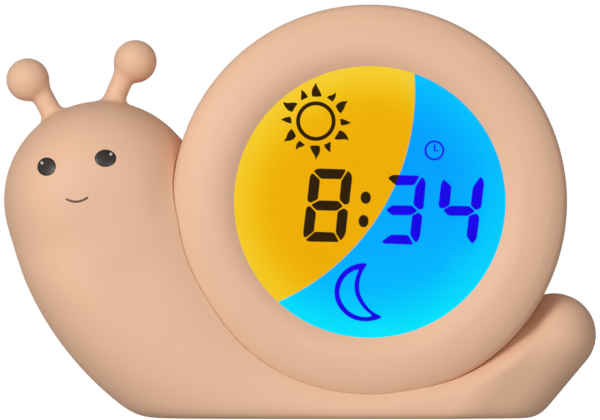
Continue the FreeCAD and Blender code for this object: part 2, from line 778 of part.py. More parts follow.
# frame that locates the glass, with four screw tabs
parts = [cyl_y("frame_out", "3.9", "disc_x", "-lcd_y - 0.1", "disc_z")]
for deg in (0, 90, 180, 270):
    parts.append(box_turned("8.0", "2.4", "7.0", "frame_out + 1.4", deg, "-lcd_y + 1.4"))
cuts = [octagon("lcd_flat + 0.4", "-lcd_y - 0.5", "lcd_thick + 0.6"),
        cyl_y("frame_in", "12.0", "disc_x", "-lcd_y - 1.0", "disc_z")]
for x, z in notches:
    cuts.append(cyl_y("boss_rad + 0.6", "20.0", x, "-lcd_y - 5.0", z))
for deg in (0, 90, 180, 270):
    x, z = polar("boss_r_pos", deg)
    cuts.append(cyl_y("1.4", "20.0", x, "-lcd_y - 5.0", z))
    cuts.append(cyl_y("boss_rad", "3.2", x, "-lcd_y - 1.8", z))
# slot for the display's flat cable
cuts.append(box(8.0, 10.0, 3.8, at_x(-10.0), "-lcd_y - 3.0", at_z(-45.1)))
node(cut(fuse(parts), cuts), "lcd_frame")

# yellow and blue films: one disc divided by a long arc
FILM_Y = "-lcd_y + lcd_thick + 0.05"
disc_a = cyl_y("film_r_out", "film_thick", "disc_x", FILM_Y, "disc_z")
arc_a2 = cyl_y("divide_rad - 0.02", "6.0", at_x("divide_u"), "-lcd_y", at_z("divide_w"))
node(common([disc_a, arc_a2]), "day_film")
disc_b = cyl_y("film_r_out", "film_thick", "disc_x", FILM_Y, "disc_z")
node(cut(disc_b, [cyl_y("divide_rad + 0.02", "6.0", at_x("divide_u"), "-lcd_y", at_z("divide_w"))]), "night_film")
node(cyl_y("film_r_out", "diff_thick", "disc_x", "-lcd_y + lcd_thick + film_thick + 0.1", "disc_z"), "diffuser")

# white light box: a cup with a curved wall that keeps the two colours apart
parts = [cut(cyl_y("box_out", "box_front - box_back", "disc_x", "-box_front", "disc_z"),
             [cyl_y("box_out - box_wall", "box_front - box_back - 1.6", "disc_x", "-box_front - 0.001", "disc_z")])]
wall = common([cyl_y("box_out - 0.5", "box_front - box_back - 1.0", "disc_x", "-box_front", "disc_z"),
               cut(cyl_y("divide_rad + 0.6", "10.0", at_x("divide_u"), "-box_front - 0.5", at_z("divide_w")),
                   [cyl_y("divide_rad - 0.6", "12.0", at_x("divide_u"), "-box_front - 1.0", at_z("divide_w"))])])
parts.append(wall)
for deg in (0, 90, 180, 270):
    parts.append(box_turned("10.0", "2.4", "7.0", "frame_out + 0.4", deg, "-box_front"))
for deg in (22.5, 112.5, 202.5, 292.5):
    x, z = polar("46.0", deg)
    parts.append(cyl_y("2.2", "box_front - pcb_y - 2.0", x, "-box_front + 2.0", z))
DAY = [(-28, 10), (-12, 25), (-26, -12), (-6, 6), (6, 29)]
NIGHT = [(24, 24), (33, 6), (27, -15), (11, -30), (-8, -34), (12, -10), (18, 8)]
cuts = []
for u, w in DAY + NIGHT:
    cuts.append(box(4.4, 6.0, 3.8, at_x(u), "-box_back - 2.2", at_z(w)))
for deg in (0, 90, 180, 270):
    x, z = polar("boss_r_pos", deg)
    cuts.append(cyl_y("1.4", "20.0", x, "-box_front - 2.0", z))
for deg in (22.5, 112.5, 202.5, 292.5):
    x, z = polar("46.0", deg)
    cuts.append(cyl_y("0.95", "7.0", x, "-pcb_y - 6.6", z))
node(cut(fuse(parts), cuts), "light_box")

screws = []
for deg in (0, 90, 180, 270):
    x, z = polar("boss_r_pos", deg)
    screws.append(fuse([
        cyl_y("screw_rad", "lcd_y + 2.4 - box_front + 2.42 + 0.4", x, "-lcd_y - 2.4", z),
        cyl_y("screw_head", "1.5", x, "-box_front + 2.42", z)]))
node(group(screws), "lightbox_screws")

# main board with notches for the shell columns
cuts = []
for x, z in notches:
    cuts.append(cyl_y("boss_rad + 0.6", "20.0", x, "-pcb_y - 5.0", z))
for deg in (22.5, 112.5, 202.5, 292.5):
    x, z = polar("46.0", deg)
    cuts.append(cyl_y("1.1", "20.0", x, "-pcb_y - 5.0", z))
for deg in (0, 90, 180, 270):
    x, z = polar("boss_r_pos + 1.0", deg)
    cuts.append(cyl_y("4.2", "20.0", x, "-pcb_y - 5.0", z))
node(cut(cyl_y("pcb_r_out", "pcb_thick", "disc_x", "-pcb_y", "disc_z"), cuts), "main_pcb")

screws = []
for deg in (22.5, 112.5, 202.5, 292.5):
    x, z = polar("46.0", deg)
    screws.append(fuse([
        cyl_y("0.9", "pcb_thick + 6.0", x, "-pcb_y - 5.5", z),
        cyl_y("1.7", "1.2", x, "-pcb_y + pcb_thick + 0.02", z)]))
node(group(screws), "pcb_screws")

# light sources: small white packages with a raised clear window
for name, spots in (("day_leds", DAY), ("night_leds", NIGHT)):
    leds = []
    for u, w in spots:
        leds.append(fuse([
            box(3.5, 1.2, 2.8, at_x(u), "-pcb_y - 1.22", at_z(w)),
            cone_y(0.9, 1.2, 0.5, at_x(u), "-pcb_y - 1.7", at_z(w))]))
    node(group(leds), name)

PCB_BACK = "-pcb_y + pcb_thick"

# chips and parts on the back of the main board
chip = [box(10.0, 1.4, 10.0, at_x(8), PCB_BACK + " + 0.15", at_z(14))]
for k in range(8):
    off = -3.85 + 1.1 * k
    chip.append(box(12.0, 0.25, 0.4, at_x(8), PCB_BACK + " + 0.02", at_z(14 + off)))
    chip.append(box(0.4, 0.25, 12.0, at_x(8 + off), PCB_BACK + " + 0.02", at_z(14)))
node(fuse(chip), "microcontroller")
node(fuse([box(7.0, 3.4, 4.4, at_x(24), PCB_BACK + " + 0.02", at_z(16)),
           cyl_y(2.2, 3.4, at_x(20.5), PCB_BACK + " + 0.02", at_z(16)),
           cyl_y(2.2, 3.4, at_x(27.5), PCB_BACK + " + 0.02", at_z(16))]), "crystal")
amp = [box(4.0, 1.5, 5.0, at_x(-14), PCB_BACK + " + 0.1", at_z(14))]
for k in range(4):
    amp.append(box(6.2, 0.25, 0.45, at_x(-14), PCB_BACK + " + 0.02", at_z(12.1 + 1.27 * k)))
node(fuse(amp), "audio_amp")
caps = []
for u, w in ((-27, 8), (-27, 17), (34, 4)):
    caps.append(fuse([box(6.6, 0.9, 6.6, at_x(u), PCB_BACK + " + 0.02", at_z(w)),
                      cyl_y(3.15, 7.0, at_x(u), PCB_BACK + " + 0.5", at_z(w))]))
node(group(caps), "capacitors")

# battery: open-topped holder on the main board, two spring contacts, one cell
HOLD_Y = PCB_BACK + " + 0.02"
tray = cut(box("cell_len + 9.0", "13.5", "cell_rad * 2 + 3.6", "disc_x", HOLD_Y, at_z("cell_w")),
           [box("cell_len + 6.0", "14.0", "cell_rad * 2 + 0.8", "disc_x", HOLD_Y + " + 1.2", at_z("cell_w")),
            box("cell_len - 26.0", "14.0", "60.0", "disc_x", HOLD_Y + " + 7.5", at_z("cell_w"))])
node(tray, "battery_holder")
CELL_Y = PCB_BACK + " + 1.4 + cell_rad"
cell = fuse([cyl_x("cell_rad", "cell_len - 1.2", "disc_x - cell_len / 2", CELL_Y, at_z("cell_w")),
             cyl_x("3.2", "1.2", "disc_x + cell_len / 2 - 1.2", CELL_Y, at_z("cell_w"))])
node(cell, "battery_cell")
contacts = []
for sgn in (-1, 1):
    contacts.append(fuse([
        box(0.4, 10.0, 9.0, "disc_x + (%d) * (cell_len / 2 + 2.7)" % sgn, HOLD_Y + " + 2.0", at_z("cell_w")),
        box(2.4, 0.4, 5.0, "disc_x + (%d) * (cell_len / 2 + 1.5)" % sgn, HOLD_Y + " + 10.4", at_z("cell_w"))]))
node(group(contacts), "battery_contacts")

# ------------------------------------------------------ rear cover, controls
COVER_IN = "cover_y - cover_thick"
BUTTONS = ["set_button", "down_button", "light_button", "up_button", "alarm_button"]
BUTTON_U = [-2, -1, 0, 1, 2]
parts = [cyl_y("cover_r_out", "cover_thick", "disc_x", COVER_IN, "disc_z")]
# board posts inside the cover
POSTS = [(-36, 4.5), (36, 4.5), (-33, -26.5), (33, -26.5)]
for u, w in POSTS:
    parts.append(cyl_y("2.6", COVER_IN + " - key_pcb_y - key_pcb_thick - 0.02", at_x(u), "key_pcb_y + key_pcb_thick + 0.02", at_z(w)))
# collar round the speaker
parts.append(cut(cyl_y("speaker_rad + 1.8", "4.6", "disc_x", COVER_IN + " - 4.5", at_z("speaker_w")),
                 [cyl_y("speaker_rad + 0.3", "8.0", "disc_x", COVER_IN + " - 8.0", at_z("speaker_w"))]))
cuts = []
for k in BUTTON_U:
    cuts.append(cyl_y("button_rad + button_gap", "6.0", at_x("button_pitch * (%d)" % k), COVER_IN + " - 2.0", at_z("button_w")))
# grille: three rings of holes round one in the middle
cuts.append(cyl_y(0.9, 6.0, "disc_x", COVER_IN + " - 2.0", at_z("speaker_w")))
for rad, number in ((3.6, 6), (7.0, 12), (10.4, 18)):
    for i in range(number):
        a = 2 * math.pi * i / number
        cuts.append(cyl_y(0.9, 6.0, at_x("%.4f" % (rad * math.cos(a))), COVER_IN + " - 2.0",
                          at_z("speaker_w + %.4f" % (rad * math.sin(a)))))
# slot for the slider with a shallow thumb recess, and the socket opening
SL_U, USB_U = -17.0, 17.0
cuts.append(box("5.0 + slider_travel + 0.5", "6.0", "4.1", at_x("%s + slider_travel / 2" % SL_U), COVER_IN + " - 2.0", at_z("control_w")))
cuts.append(box("10.0 + slider_travel", "2.0", "6.6", at_x("%s + slider_travel / 2" % SL_U), "cover_y - 0.7", at_z("control_w")))
cuts.append(box("usb_wide - usb_high + 0.5", "6.0", "usb_high + 0.5", at_x(USB_U), COVER_IN + " - 2.0", at_z("control_w")))
for sgn in (-1, 1):
    cuts.append(cyl_y("usb_high / 2 + 0.25", "6.0", at_x("%s + (%d) * (usb_wide - usb_high) / 2" % (USB_U, sgn)), COVER_IN + " - 2.0", at_z("control_w")))
for deg in (0, 90, 180, 270):
    x, z = polar("boss_r_pos", deg)
    cuts.append(cyl_y("1.5", "6.0", x, COVER_IN + " - 2.0", z))
    cuts.append(cone_y("1.5", "2.7", "1.2", x, "cover_y - 1.2", z))
for u, w in POSTS:
    cuts.append(cyl_y("0.95", "6.0", at_x(u), "key_pcb_y + key_pcb_thick", at_z(w)))
node(cut(fuse(parts), cuts), "rear_cover")

# countersunk cover screws with a cross recess
screws = []
for deg in (0, 90, 180, 270):
    x, z = polar("boss_r_pos", deg)
    screws.append(cut(fuse([
        cyl_y("screw_rad", "8.0", x, "cover_y - 9.0", z),
        cone_y("screw_rad", "2.5", "1.15", x, "cover_y - 1.2", z)]),
        [box(2.6, 1.4, 0.6, x, "cover_y - 0.8", z), box(0.6, 1.4, 2.6, x, "cover_y - 0.8", z)]))
node(group(screws), "cover_screws")

# key board on the cover's posts
kb = fuse([box(78.0, "key_pcb_thick", 12.0, "disc_x", "key_pcb_y", at_z(1.0)),
           box(72.0, "key_pcb_thick", 26.0, "disc_x", "key_pcb_y", at_z(-16.5))])
cuts = []
for u, w in POSTS:
    cuts.append(cyl_y("1.1", "6.0", at_x(u), "key_pcb_y - 2.0", at_z(w)))
node(cut(kb, cuts), "key_pcb")
screws = []
for u, w in POSTS:
    screws.append(fuse([
        cyl_y("0.9", "key_pcb_thick + 5.4", at_x(u), "key_pcb_y", at_z(w)),
        cyl_y("1.7", "1.2", at_x(u), "key_pcb_y - 1.2", at_z(w))]))
node(group(screws), "key_pcb_screws")

# tact switches under the buttons: body with a bore for the plunger
KEY_BACK = "key_pcb_y + key_pcb_thick"
switches = []
for k in BUTTON_U:
    u = "button_pitch * (%d)" % k
    switches.append(cut(fuse([box(6.0, 3.4, 6.0, at_x(u), KEY_BACK + " + 0.02", at_z("button_w")),
                              box(8.0, 0.3, 0.7, at_x(u), KEY_BACK + " + 0.02", at_z("button_w + 2.2")),
                              box(8.0, 0.3, 0.7, at_x(u), KEY_BACK + " + 0.02", at_z("button_w - 2.2"))]),
                        [cyl_y(1.8, 3.0, at_x(u), KEY_BACK + " + 1.2", at_z("button_w"))]))
node(group(switches), "tact_switches")

# buttons with an inner flange that stops under the cover, and plungers
for name, k in zip(BUTTONS, BUTTON_U):
    u = "button_pitch * (%d)" % k
    cap = fuse([
        cyl_y("button_rad", "cover_thick + button_up - 0.6 + 0.3", at_x(u), COVER_IN + " - 0.3", at_z("button_w")),
        cone_y("button_rad", "button_rad - 0.6", "0.6", at_x(u), "cover_y + button_up - 0.6", at_z("button_w")),
        cyl_y("button_rad + 0.9", "0.9", at_x(u), COVER_IN + " - 0.95", at_z("button_w")),
        cyl_y("1.6", "1.2", at_x(u), COVER_IN + " - 2.0", at_z("button_w"))])
    node(cap, name)
    stem = name.replace("_button", "_plunger")
    node(cyl_y(1.72, COVER_IN + " - 2.05 - (" + KEY_BACK + ") - 2.0", at_x(u), KEY_BACK + " + 2.0", at_z("button_w")), stem)

# slide switch: metal body with a slot, the lever that moves in it, the thumb piece
slide = cut(fuse([box(8.8, 4.0, 4.6, at_x("%s + slider_travel / 2" % SL_U), KEY_BACK + " + 0.02", at_z("control_w")),
                  box(10.6, 0.4, 3.0, at_x("%s + slider_travel / 2" % SL_U), KEY_BACK + " + 0.02", at_z("control_w"))]),
            [box("1.6 + slider_travel + 0.4", 3.0, 1.9, at_x("%s + slider_travel / 2" % SL_U), KEY_BACK + " + 2.4", at_z("control_w"))])
node(slide, "slide_switch")
node(box(1.6, COVER_IN + " - 1.35 - (" + KEY_BACK + ") - 2.8", 1.6, at_x(SL_U), KEY_BACK + " + 2.8", at_z("control_w")), "switch_lever")
thumb = [box(5.0, "cover_thick + 0.5 + 0.3", 3.7, at_x(SL_U), COVER_IN + " - 0.3", at_z("control_w")),
         box(12.6, 0.9, 6.4, at_x(SL_U), COVER_IN + " - 1.2", at_z("control_w"))]
grip = [box(0.5, 1.0, 5.0, at_x(SL_U + off), "cover_y + 0.2", at_z("control_w")) for off in (-1.4, 0.0, 1.4)]
node(cut(fuse(thumb), grip), "power_slider")

# charging socket: upright shell with its tongue, standing on the key board
USB_Y = KEY_BACK + " + 0.02"
USB_LEN = "cover_y - 0.3 - (" + KEY_BACK + ") - 0.02"


def racetrack(wide, high, length, u, y, w):
    out = [box("(%s) - (%s)" % (wide, high), length, high, at_x(u), y, at_z(w))]
    for sgn in (-1, 1):
        out.append(cyl_y("(%s) / 2" % high, length, at_x("%s + (%d) * ((%s) - (%s)) / 2" % (u, sgn, wide, high)), y, at_z(w)))
    return fuse(out)


socket = cut(racetrack("usb_wide", "usb_high", USB_LEN, USB_U, USB_Y, "control_w"),
             [racetrack("usb_wide - 0.6", "usb_high - 0.6", "6.4", USB_U, "cover_y - 0.3 - 6.2", "control_w")])
socket = fuse([socket, box(6.6, "5.4", 0.7, at_x(USB_U), "cover_y - 0.3 - 6.4", at_z("control_w")),
               box(10.4, 0.4, 2.0, at_x(USB_U), USB_Y, at_z("control_w"))])
node(socket, "usb_c_receptacle")

# speaker: frame, cone recess, magnet; a foam ring seals it to the grille
SPK = COVER_IN + " - 0.6"
spk = fuse([cyl_y("speaker_rad", 1.6, "disc_x", SPK + " - 1.6", at_z("speaker_w")),
            cone_y("8.6", "speaker_rad - 1.2", 3.0, "disc_x", SPK + " - 4.6", at_z("speaker_w")),
            cyl_y("8.4", 4.2, "disc_x", SPK + " - 8.6", at_z("speaker_w"))])
spk = cut(spk, [cone_y("4.0", "speaker_rad - 1.6", 2.2, "disc_x", SPK + " - 2.2", at_z("speaker_w"))])
node(spk, "speaker")
node(cut(cyl_y("speaker_rad - 0.1", 0.5, "disc_x", SPK + " + 0.04", at_z("speaker_w")),
         [cyl_y("speaker_rad - 2.2", 2.0, "disc_x", SPK + " - 0.5", at_z("speaker_w"))]), "speaker_gasket")

# --------------------------------------------------------- cables inside
def ribbon(width, points, thick, cx):
    """Flat strip of a width across X that follows points given in Y and Z.

    Straight runs joined by small arcs, swept as one band.
    """
    rad = 1.2
    pts = [Vector(0, y, z) for y, z in points]
    edges = []
    start = pts[0]
    for i in range(1, len(pts)):
        if i < len(pts) - 1:
            a, b, c = pts[i - 1], pts[i], pts[i + 1]
            d1, d2 = (b - a).normalize(), (c - b).normalize()
            turn = math.acos(max(-1.0, min(1.0, d1.dot(d2))))
            t = rad * math.tan(turn / 2)
            p, q = b - d1 * t, b + d2 * t
            n = (d2 - d1).normalize()
            centre = b + n * (rad / math.cos(turn / 2))
            mid = centre - n * rad
            edges.append(Part.LineSegment(start, p).toShape())
            edges.append(Part.Arc(p, mid, q).toShape())
            start = q
        else:
            edges.append(Part.LineSegment(start, pts[i]).toShape())
    solids = []
    for e in edges:
        p0, p1 = e.Vertexes[0].Point, e.Vertexes[-1].Point
        d0 = e.tangentAt(e.FirstParameter)
        d1 = e.tangentAt(e.LastParameter)
        n0 = Vector(0, -d0.z, d0.y) * (thick / 2.0)
        n1 = Vector(0, -d1.z, d1.y) * (thick / 2.0)
        a = e.valueAt(e.FirstParameter)
        b = e.valueAt(e.LastParameter)
        if isinstance(e.Curve, Part.Circle):
            m = e.valueAt((e.FirstParameter + e.LastParameter) / 2)
            dm = e.tangentAt((e.FirstParameter + e.LastParameter) / 2)
            nm = Vector(0, -dm.z, dm.y) * (thick / 2.0)
            w = Part.Wire([Part.Arc(a + n0, m + nm, b + n1).toShape(), Part.LineSegment(b + n1, b - n1).toShape(),
                           Part.Arc(b - n1, m - nm, a - n0).toShape(), Part.LineSegment(a - n0, a + n0).toShape()])
        else:
            w = Part.makePolygon([a + n0, b + n1, b - n1, a - n0, a + n0])
        f = Part.Face(w)
        f.translate(Vector(cx - width / 2.0, 0, 0))
        solids.append(f.extrude(Vector(width, 0, 0)))
    out = solids[0]
    for s in solids[1:]:
        out = out.fuse(s)
    return out.removeSplitter()


DX, DZ = dim("disc_x"), dim("disc_z")
LCD_BACK = -dim("lcd_y") + dim("lcd_thick")
PCB_F = -dim("pcb_y")
PCB_B = PCB_F + dim("pcb_thick")
KEY_F = dim("key_pcb_y")
# flat cable from the glass's lower edge, behind the frame, to the main board
feature("lcd_flex", ribbon(7.0, [(-dim("lcd_y") + 1.2, DZ - 43.15), (-dim("lcd_y") + 1.2, DZ - 45.3),
                                 (PCB_F - 2.05, DZ - 45.3)], 0.2, DX - 10.0))
node(box(8.4, 2.0, 2.6, at_x(-10.0), "-pcb_y - 2.02", at_z(-45.3)), "lcd_connector")

# ribbon between the two boards, with a connector at each end
feature("key_ribbon", ribbon(10.0, [
    (PCB_B + 3.05, DZ - 2.5), (1.0, DZ - 2.5), (1.0, DZ + 3.5), (9.5, DZ + 3.5), (9.5, DZ - 2.5), (KEY_F - 3.05, DZ - 2.5)], 0.4, DX + 2.0))
node(group([box(13.0, 3.0, 4.0, at_x(2.0), PCB_BACK + " + 0.02", at_z(-2.5)),
            box(13.0, 3.0, 4.0, at_x(2.0), "key_pcb_y - 3.02", at_z(-2.5))]), "ribbon_connectors")


def wire_tube(points, radius):
    """Round lead along straight runs joined by tangent arcs."""
    pts = [Vector(*p) for p in points]
    edges = []
    start = pts[0]
    for i in range(1, len(pts) - 1):
        a, b, c = pts[i - 1], pts[i], pts[i + 1]
        d1, d2 = (b - a).normalize(), (c - b).normalize()
        turn = math.acos(max(-1.0, min(1.0, d1.dot(d2))))
        run = min((pts[i] - pts[i - 1]).Length, (pts[i + 1] - pts[i]).Length)
        t = 0.45 * run
        rad = t / math.tan(turn / 2)
        p, q = b - d1 * t, b + d2 * t
        n = (d2 - d1).normalize()
        mid = b + n * (rad / math.cos(turn / 2)) - n * rad
        edges.append(Part.LineSegment(start, p).toShape())
        edges.append(Part.Arc(p, mid, q).toShape())
        start = q
        print("lead bend radius %.2f" % rad)
    edges.append(Part.LineSegment(start, pts[-1]).toShape())
    path = Part.Wire(edges)
    circle = Part.Wire([Part.Circle(pts[0], pts[1] - pts[0], radius).toShape()])
    tube = path.makePipeShell([circle], True, True, 2)
    want = math.pi * radius * radius * path.Length
    print("lead length %.1f volume ratio %.4f" % (path.Length, tube.Volume / want))
    return tube


# speaker leads from the speaker's rim terminals to the main board
SPK_Y = dim("cover_y") - dim("cover_thick") - 0.6
leads = []
for sgn in (-1, 1):
    leads.append(wire_tube([
        (DX - 10.8, SPK_Y - 3.3, DZ + 24.0 + sgn * 2.0),
        (DX - 17.0, SPK_Y - 6.5, DZ + 23.5 + sgn * 1.8),
        (DX - 19.5, SPK_Y - 14.0, DZ + 22.5 + sgn * 1.2),
        (DX - 18.0, SPK_Y - 22.0, DZ + 24.0 + sgn * 1.1),
        (DX - 17.0, PCB_B + 2.62, DZ + 27.5 + sgn * 1.1)], 0.6))
feature("speaker_leads", Part.makeCompound(leads))
node(box(5.0, 2.4, 6.0, at_x(-17.0), PCB_BACK + " + 0.02", at_z(27.5)), "speaker_connector")

doc.recompute()

# ------------------------------------------------------------ check and write
bad = []
for obj in doc.Objects:
    state = [str(s) for s in obj.State]
    if "Invalid" in state or "Error" in state:
        bad.append("%s (%s): %s" % (obj.Name, obj.Label, state))
for obj in nodes:
    if obj.Shape.isNull() or not obj.Shape.isValid():
        bad.append("%s: null or invalid shape" % obj.Label)
    elif not obj.Shape.Solids:
        bad.append("%s: no solid" % obj.Label)
if bad:
    raise RuntimeError("\n".join(bad))

os.makedirs("parts", exist_ok=True)
labels = set()
total = None
for obj in nodes:
    if obj.Label in labels:
        raise RuntimeError("two nodes are called " + obj.Label)
    labels.add(obj.Label)
    obj.Shape.exportStep("parts/%s.step" % obj.Label)
    bb = obj.Shape.BoundBox
    if total is None:
        total = FreeCAD.BoundBox(bb)
    else:
        total.add(bb)
    print("%-20s solids %d volume %10.2f  X %.2f..%.2f Y %.2f..%.2f Z %.2f..%.2f" % (
        obj.Label, len(obj.Shape.Solids), obj.Shape.Volume, bb.XMin, bb.XMax, bb.YMin, bb.YMax, bb.ZMin, bb.ZMax))
print("nodes", len(nodes))
print("box X %.2f..%.2f Y %.2f..%.2f Z %.2f..%.2f" % (total.XMin, total.XMax, total.YMin, total.YMax, total.ZMin, total.ZMax))
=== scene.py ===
import json
import math
import bpy
import numpy as np
from mathutils.geometry import tessellate_polygon
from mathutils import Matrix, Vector


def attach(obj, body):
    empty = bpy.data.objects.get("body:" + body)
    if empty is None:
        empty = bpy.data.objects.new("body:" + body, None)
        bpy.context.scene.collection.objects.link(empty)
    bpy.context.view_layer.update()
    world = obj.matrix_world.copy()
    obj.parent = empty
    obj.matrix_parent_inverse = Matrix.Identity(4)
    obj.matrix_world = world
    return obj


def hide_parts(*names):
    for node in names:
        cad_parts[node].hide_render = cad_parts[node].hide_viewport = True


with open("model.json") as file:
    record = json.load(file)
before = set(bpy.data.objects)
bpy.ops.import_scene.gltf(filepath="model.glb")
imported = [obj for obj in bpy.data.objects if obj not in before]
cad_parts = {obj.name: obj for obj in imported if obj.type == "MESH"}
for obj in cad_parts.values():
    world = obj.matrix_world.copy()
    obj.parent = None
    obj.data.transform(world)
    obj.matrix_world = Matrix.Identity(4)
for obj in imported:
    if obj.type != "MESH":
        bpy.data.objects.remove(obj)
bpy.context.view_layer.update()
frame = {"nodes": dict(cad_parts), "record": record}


MM = 0.001
DISC_X, DISC_Z = 21.1, 66.0

# ---------------------------------------------------------------- camera
cam_data = bpy.data.cameras.new("camera")
cam_data.sensor_width = 36.0
DIST = 3.6
cam_data.lens = 36.0 * DIST / (600 * 0.306 * MM) * 1.0
cam_data.clip_start, cam_data.clip_end = 0.1, 30.0
cam = bpy.data.objects.new("camera", cam_data)
bpy.context.scene.collection.objects.link(cam)
cam.location = (-0.09 * MM, -DIST, 63.55 * MM)
cam.rotation_euler = (math.radians(90), 0, 0)
bpy.context.scene.camera = cam
bpy.context.scene.view_settings.view_transform = "Standard"


# ------------------------------------------------------------- materials
def lin(r, g, b):
    """Linear colour from display values of 0 to 255."""
    out = []
    for c in (r, g, b):
        c = c / 255.0
        out.append(c / 12.92 if c <= 0.04045 else ((c + 0.055) / 1.055) ** 2.4)
    return (*out, 1.0)


class Mat:
    """A node material with small helpers, coordinates in the object's frame (m)."""

    def __init__(self, name):
        self.m = bpy.data.materials.new(name)
        self.m.use_nodes = True
        self.t = self.m.node_tree
        self.t.nodes.clear()
        self.out = self.t.nodes.new("ShaderNodeOutputMaterial")
        self.co = self.t.nodes.new("ShaderNodeTexCoord").outputs["Object"]

    def n(self, kind, **kw):
        node = self.t.nodes.new(kind)
        for k, v in kw.items():
            setattr(node, k, v)
        return node

    def link(self, a, b):
        self.t.links.new(a, b)

    def bsdf(self, **sockets):
        p = self.n("ShaderNodeBsdfPrincipled")
        for k, v in sockets.items():
            p.inputs[k.replace("_", " ")].default_value = v
        self.link(p.outputs[0], self.out.inputs["Surface"])
        return p

    def noise(self, scale, detail=2.0, rough=0.5, stretch=None):
        x = self.n("ShaderNodeTexNoise")
        x.inputs["Scale"].default_value = scale
        x.inputs["Detail"].default_value = detail
        x.inputs["Roughness"].default_value = rough
        if stretch:
            mp = self.n("ShaderNodeMapping")
            mp.inputs["Scale"].default_value = stretch
            self.link(self.co, mp.inputs["Vector"])
            self.link(mp.outputs[0], x.inputs["Vector"])
        else:
            self.link(self.co, x.inputs["Vector"])
        return x.outputs["Fac"]

    def ramp(self, fac, stops):
        r = self.n("ShaderNodeValToRGB")
        e = r.color_ramp.elements
        while len(e) < len(stops):
            e.new(0.5)
        for i, (at, c) in enumerate(stops):
            e[i].position = at
            e[i].color = c if len(c) == 4 else (*c, 1.0)
        self.link(fac, r.inputs[0])
        return r.outputs[0]

    def remap(self, value, a, b, c, d):
        r = self.n("ShaderNodeMapRange")
        for i, v in enumerate((a, b, c, d)):
            r.inputs[i + 1].default_value = v
        self.link(value, r.inputs[0])
        return r.outputs[0]

    def math(self, op, a, b=None, c=None):
        x = self.n("ShaderNodeMath", operation=op)
        for i, v in enumerate((a, b, c)):
            if v is None:
                continue
            if isinstance(v, (int, float)):
                x.inputs[i].default_value = v
            else:
                self.link(v, x.inputs[i])
        return x.outputs[0]

    def bump(self, height, distance, strength=1.0, below=None):
        b = self.n("ShaderNodeBump")
        b.inputs["Strength"].default_value = strength
        b.inputs["Distance"].default_value = distance
        self.link(height, b.inputs["Height"])
        if below is not None:
            self.link(below, b.inputs["Normal"])
        return b.outputs[0]


def tone(c, k):
    return (min(c[0] * k, 1.0), min(c[1] * k, 1.0), min(c[2] * k, 1.0), 1.0)


def moulded(name, base, rough=0.5, spread=0.04, grain=2600.0, depth=0.00001, metallic=0.0,
            coat=0.0, stretch=None, sheen=0.0, spec=0.5, mottled=60.0):
    """Moulded or plated surface: faint cloudiness, fine grain, uneven gloss."""
    m = Mat(name)
    p = m.bsdf(Metallic=metallic, Coat_Weight=coat, Sheen_Weight=sheen, Specular_IOR_Level=spec)
    cloud = m.noise(mottled, 3.0, 0.55)
    m.link(m.ramp(cloud, [(0.3, tone(base, 1 - spread)), (0.7, tone(base, 1 + spread))]), p.inputs["Base Color"])
    fine = m.noise(grain, 2.0, 0.6, stretch)
    m.link(m.remap(m.noise(mottled * 5, 3.0, 0.6), 0.3, 0.7, max(rough - 0.05, 0.02), min(rough + 0.05, 1.0)),
           p.inputs["Roughness"])
    m.link(m.bump(fine, depth, 0.6), p.inputs["Normal"])
    return m.m


# soft-touch skin colour, shared by body, ring, rear half
SKIN = (0.800, 0.500, 0.340, 1.0)


def soft_skin(name, base, rough=0.52):
    m = Mat(name)
    p = m.bsdf(Specular_IOR_Level=0.30)
    cloud = m.noise(22.0, 4.0, 0.6)
    m.link(m.ramp(cloud, [(0.28, tone(base, 0.975)), (0.72, tone(base, 1.02))]), p.inputs["Base Color"])
    # powdery micro texture of moulded silicone, over slow unevenness
    slow = m.noise(260.0, 3.0, 0.55)
    fine = m.noise(3400.0, 2.0, 0.65)
    first = m.bump(slow, 0.000035, 0.35)
    m.link(m.bump(fine, 0.000007, 0.55, first), p.inputs["Normal"])
    m.link(m.remap(m.noise(420.0, 3.0, 0.6), 0.3, 0.7, rough - 0.04, rough + 0.05), p.inputs["Roughness"])
    return m.m


def glassy(name, tint, rough, amount):
    """Flat clear pane: lets light through, mirrors a little at its face."""
    m = Mat(name)
    clear = m.n("ShaderNodeBsdfTransparent")
    clear.inputs[0].default_value = tint
    gloss = m.n("ShaderNodeBsdfGlossy")
    gloss.inputs["Color"].default_value = (1, 1, 1, 1)
    m.link(m.remap(m.noise(90.0, 3.0, 0.5), 0.3, 0.7, rough * 0.7, rough * 1.3), gloss.inputs["Roughness"])
    fres = m.n("ShaderNodeFresnel")
    fres.inputs["IOR"].default_value = 1.0 + amount
    mix = m.n("ShaderNodeMixShader")
    m.link(fres.outputs[0], mix.inputs[0])
    m.link(clear.outputs[0], mix.inputs[1])
    m.link(gloss.outputs[0], mix.inputs[2])
    m.link(mix.outputs[0], m.out.inputs["Surface"])
    return m.m


def disc_uv(m):
    """Position on the display in millimetres from its centre: right, up."""
    sep = m.n("ShaderNodeSeparateXYZ")
    m.link(m.co, sep.inputs[0])
    u = m.math("MULTIPLY_ADD", sep.outputs["X"], 1000.0, -DISC_X)
    w = m.math("MULTIPLY_ADD", sep.outputs["Z"], 1000.0, -DISC_Z)
    return u, w


def radius_of(m, u, w):
    return m.math("SQRT", m.math("ADD", m.math("MULTIPLY", u, u), m.math("MULTIPLY", w, w)))


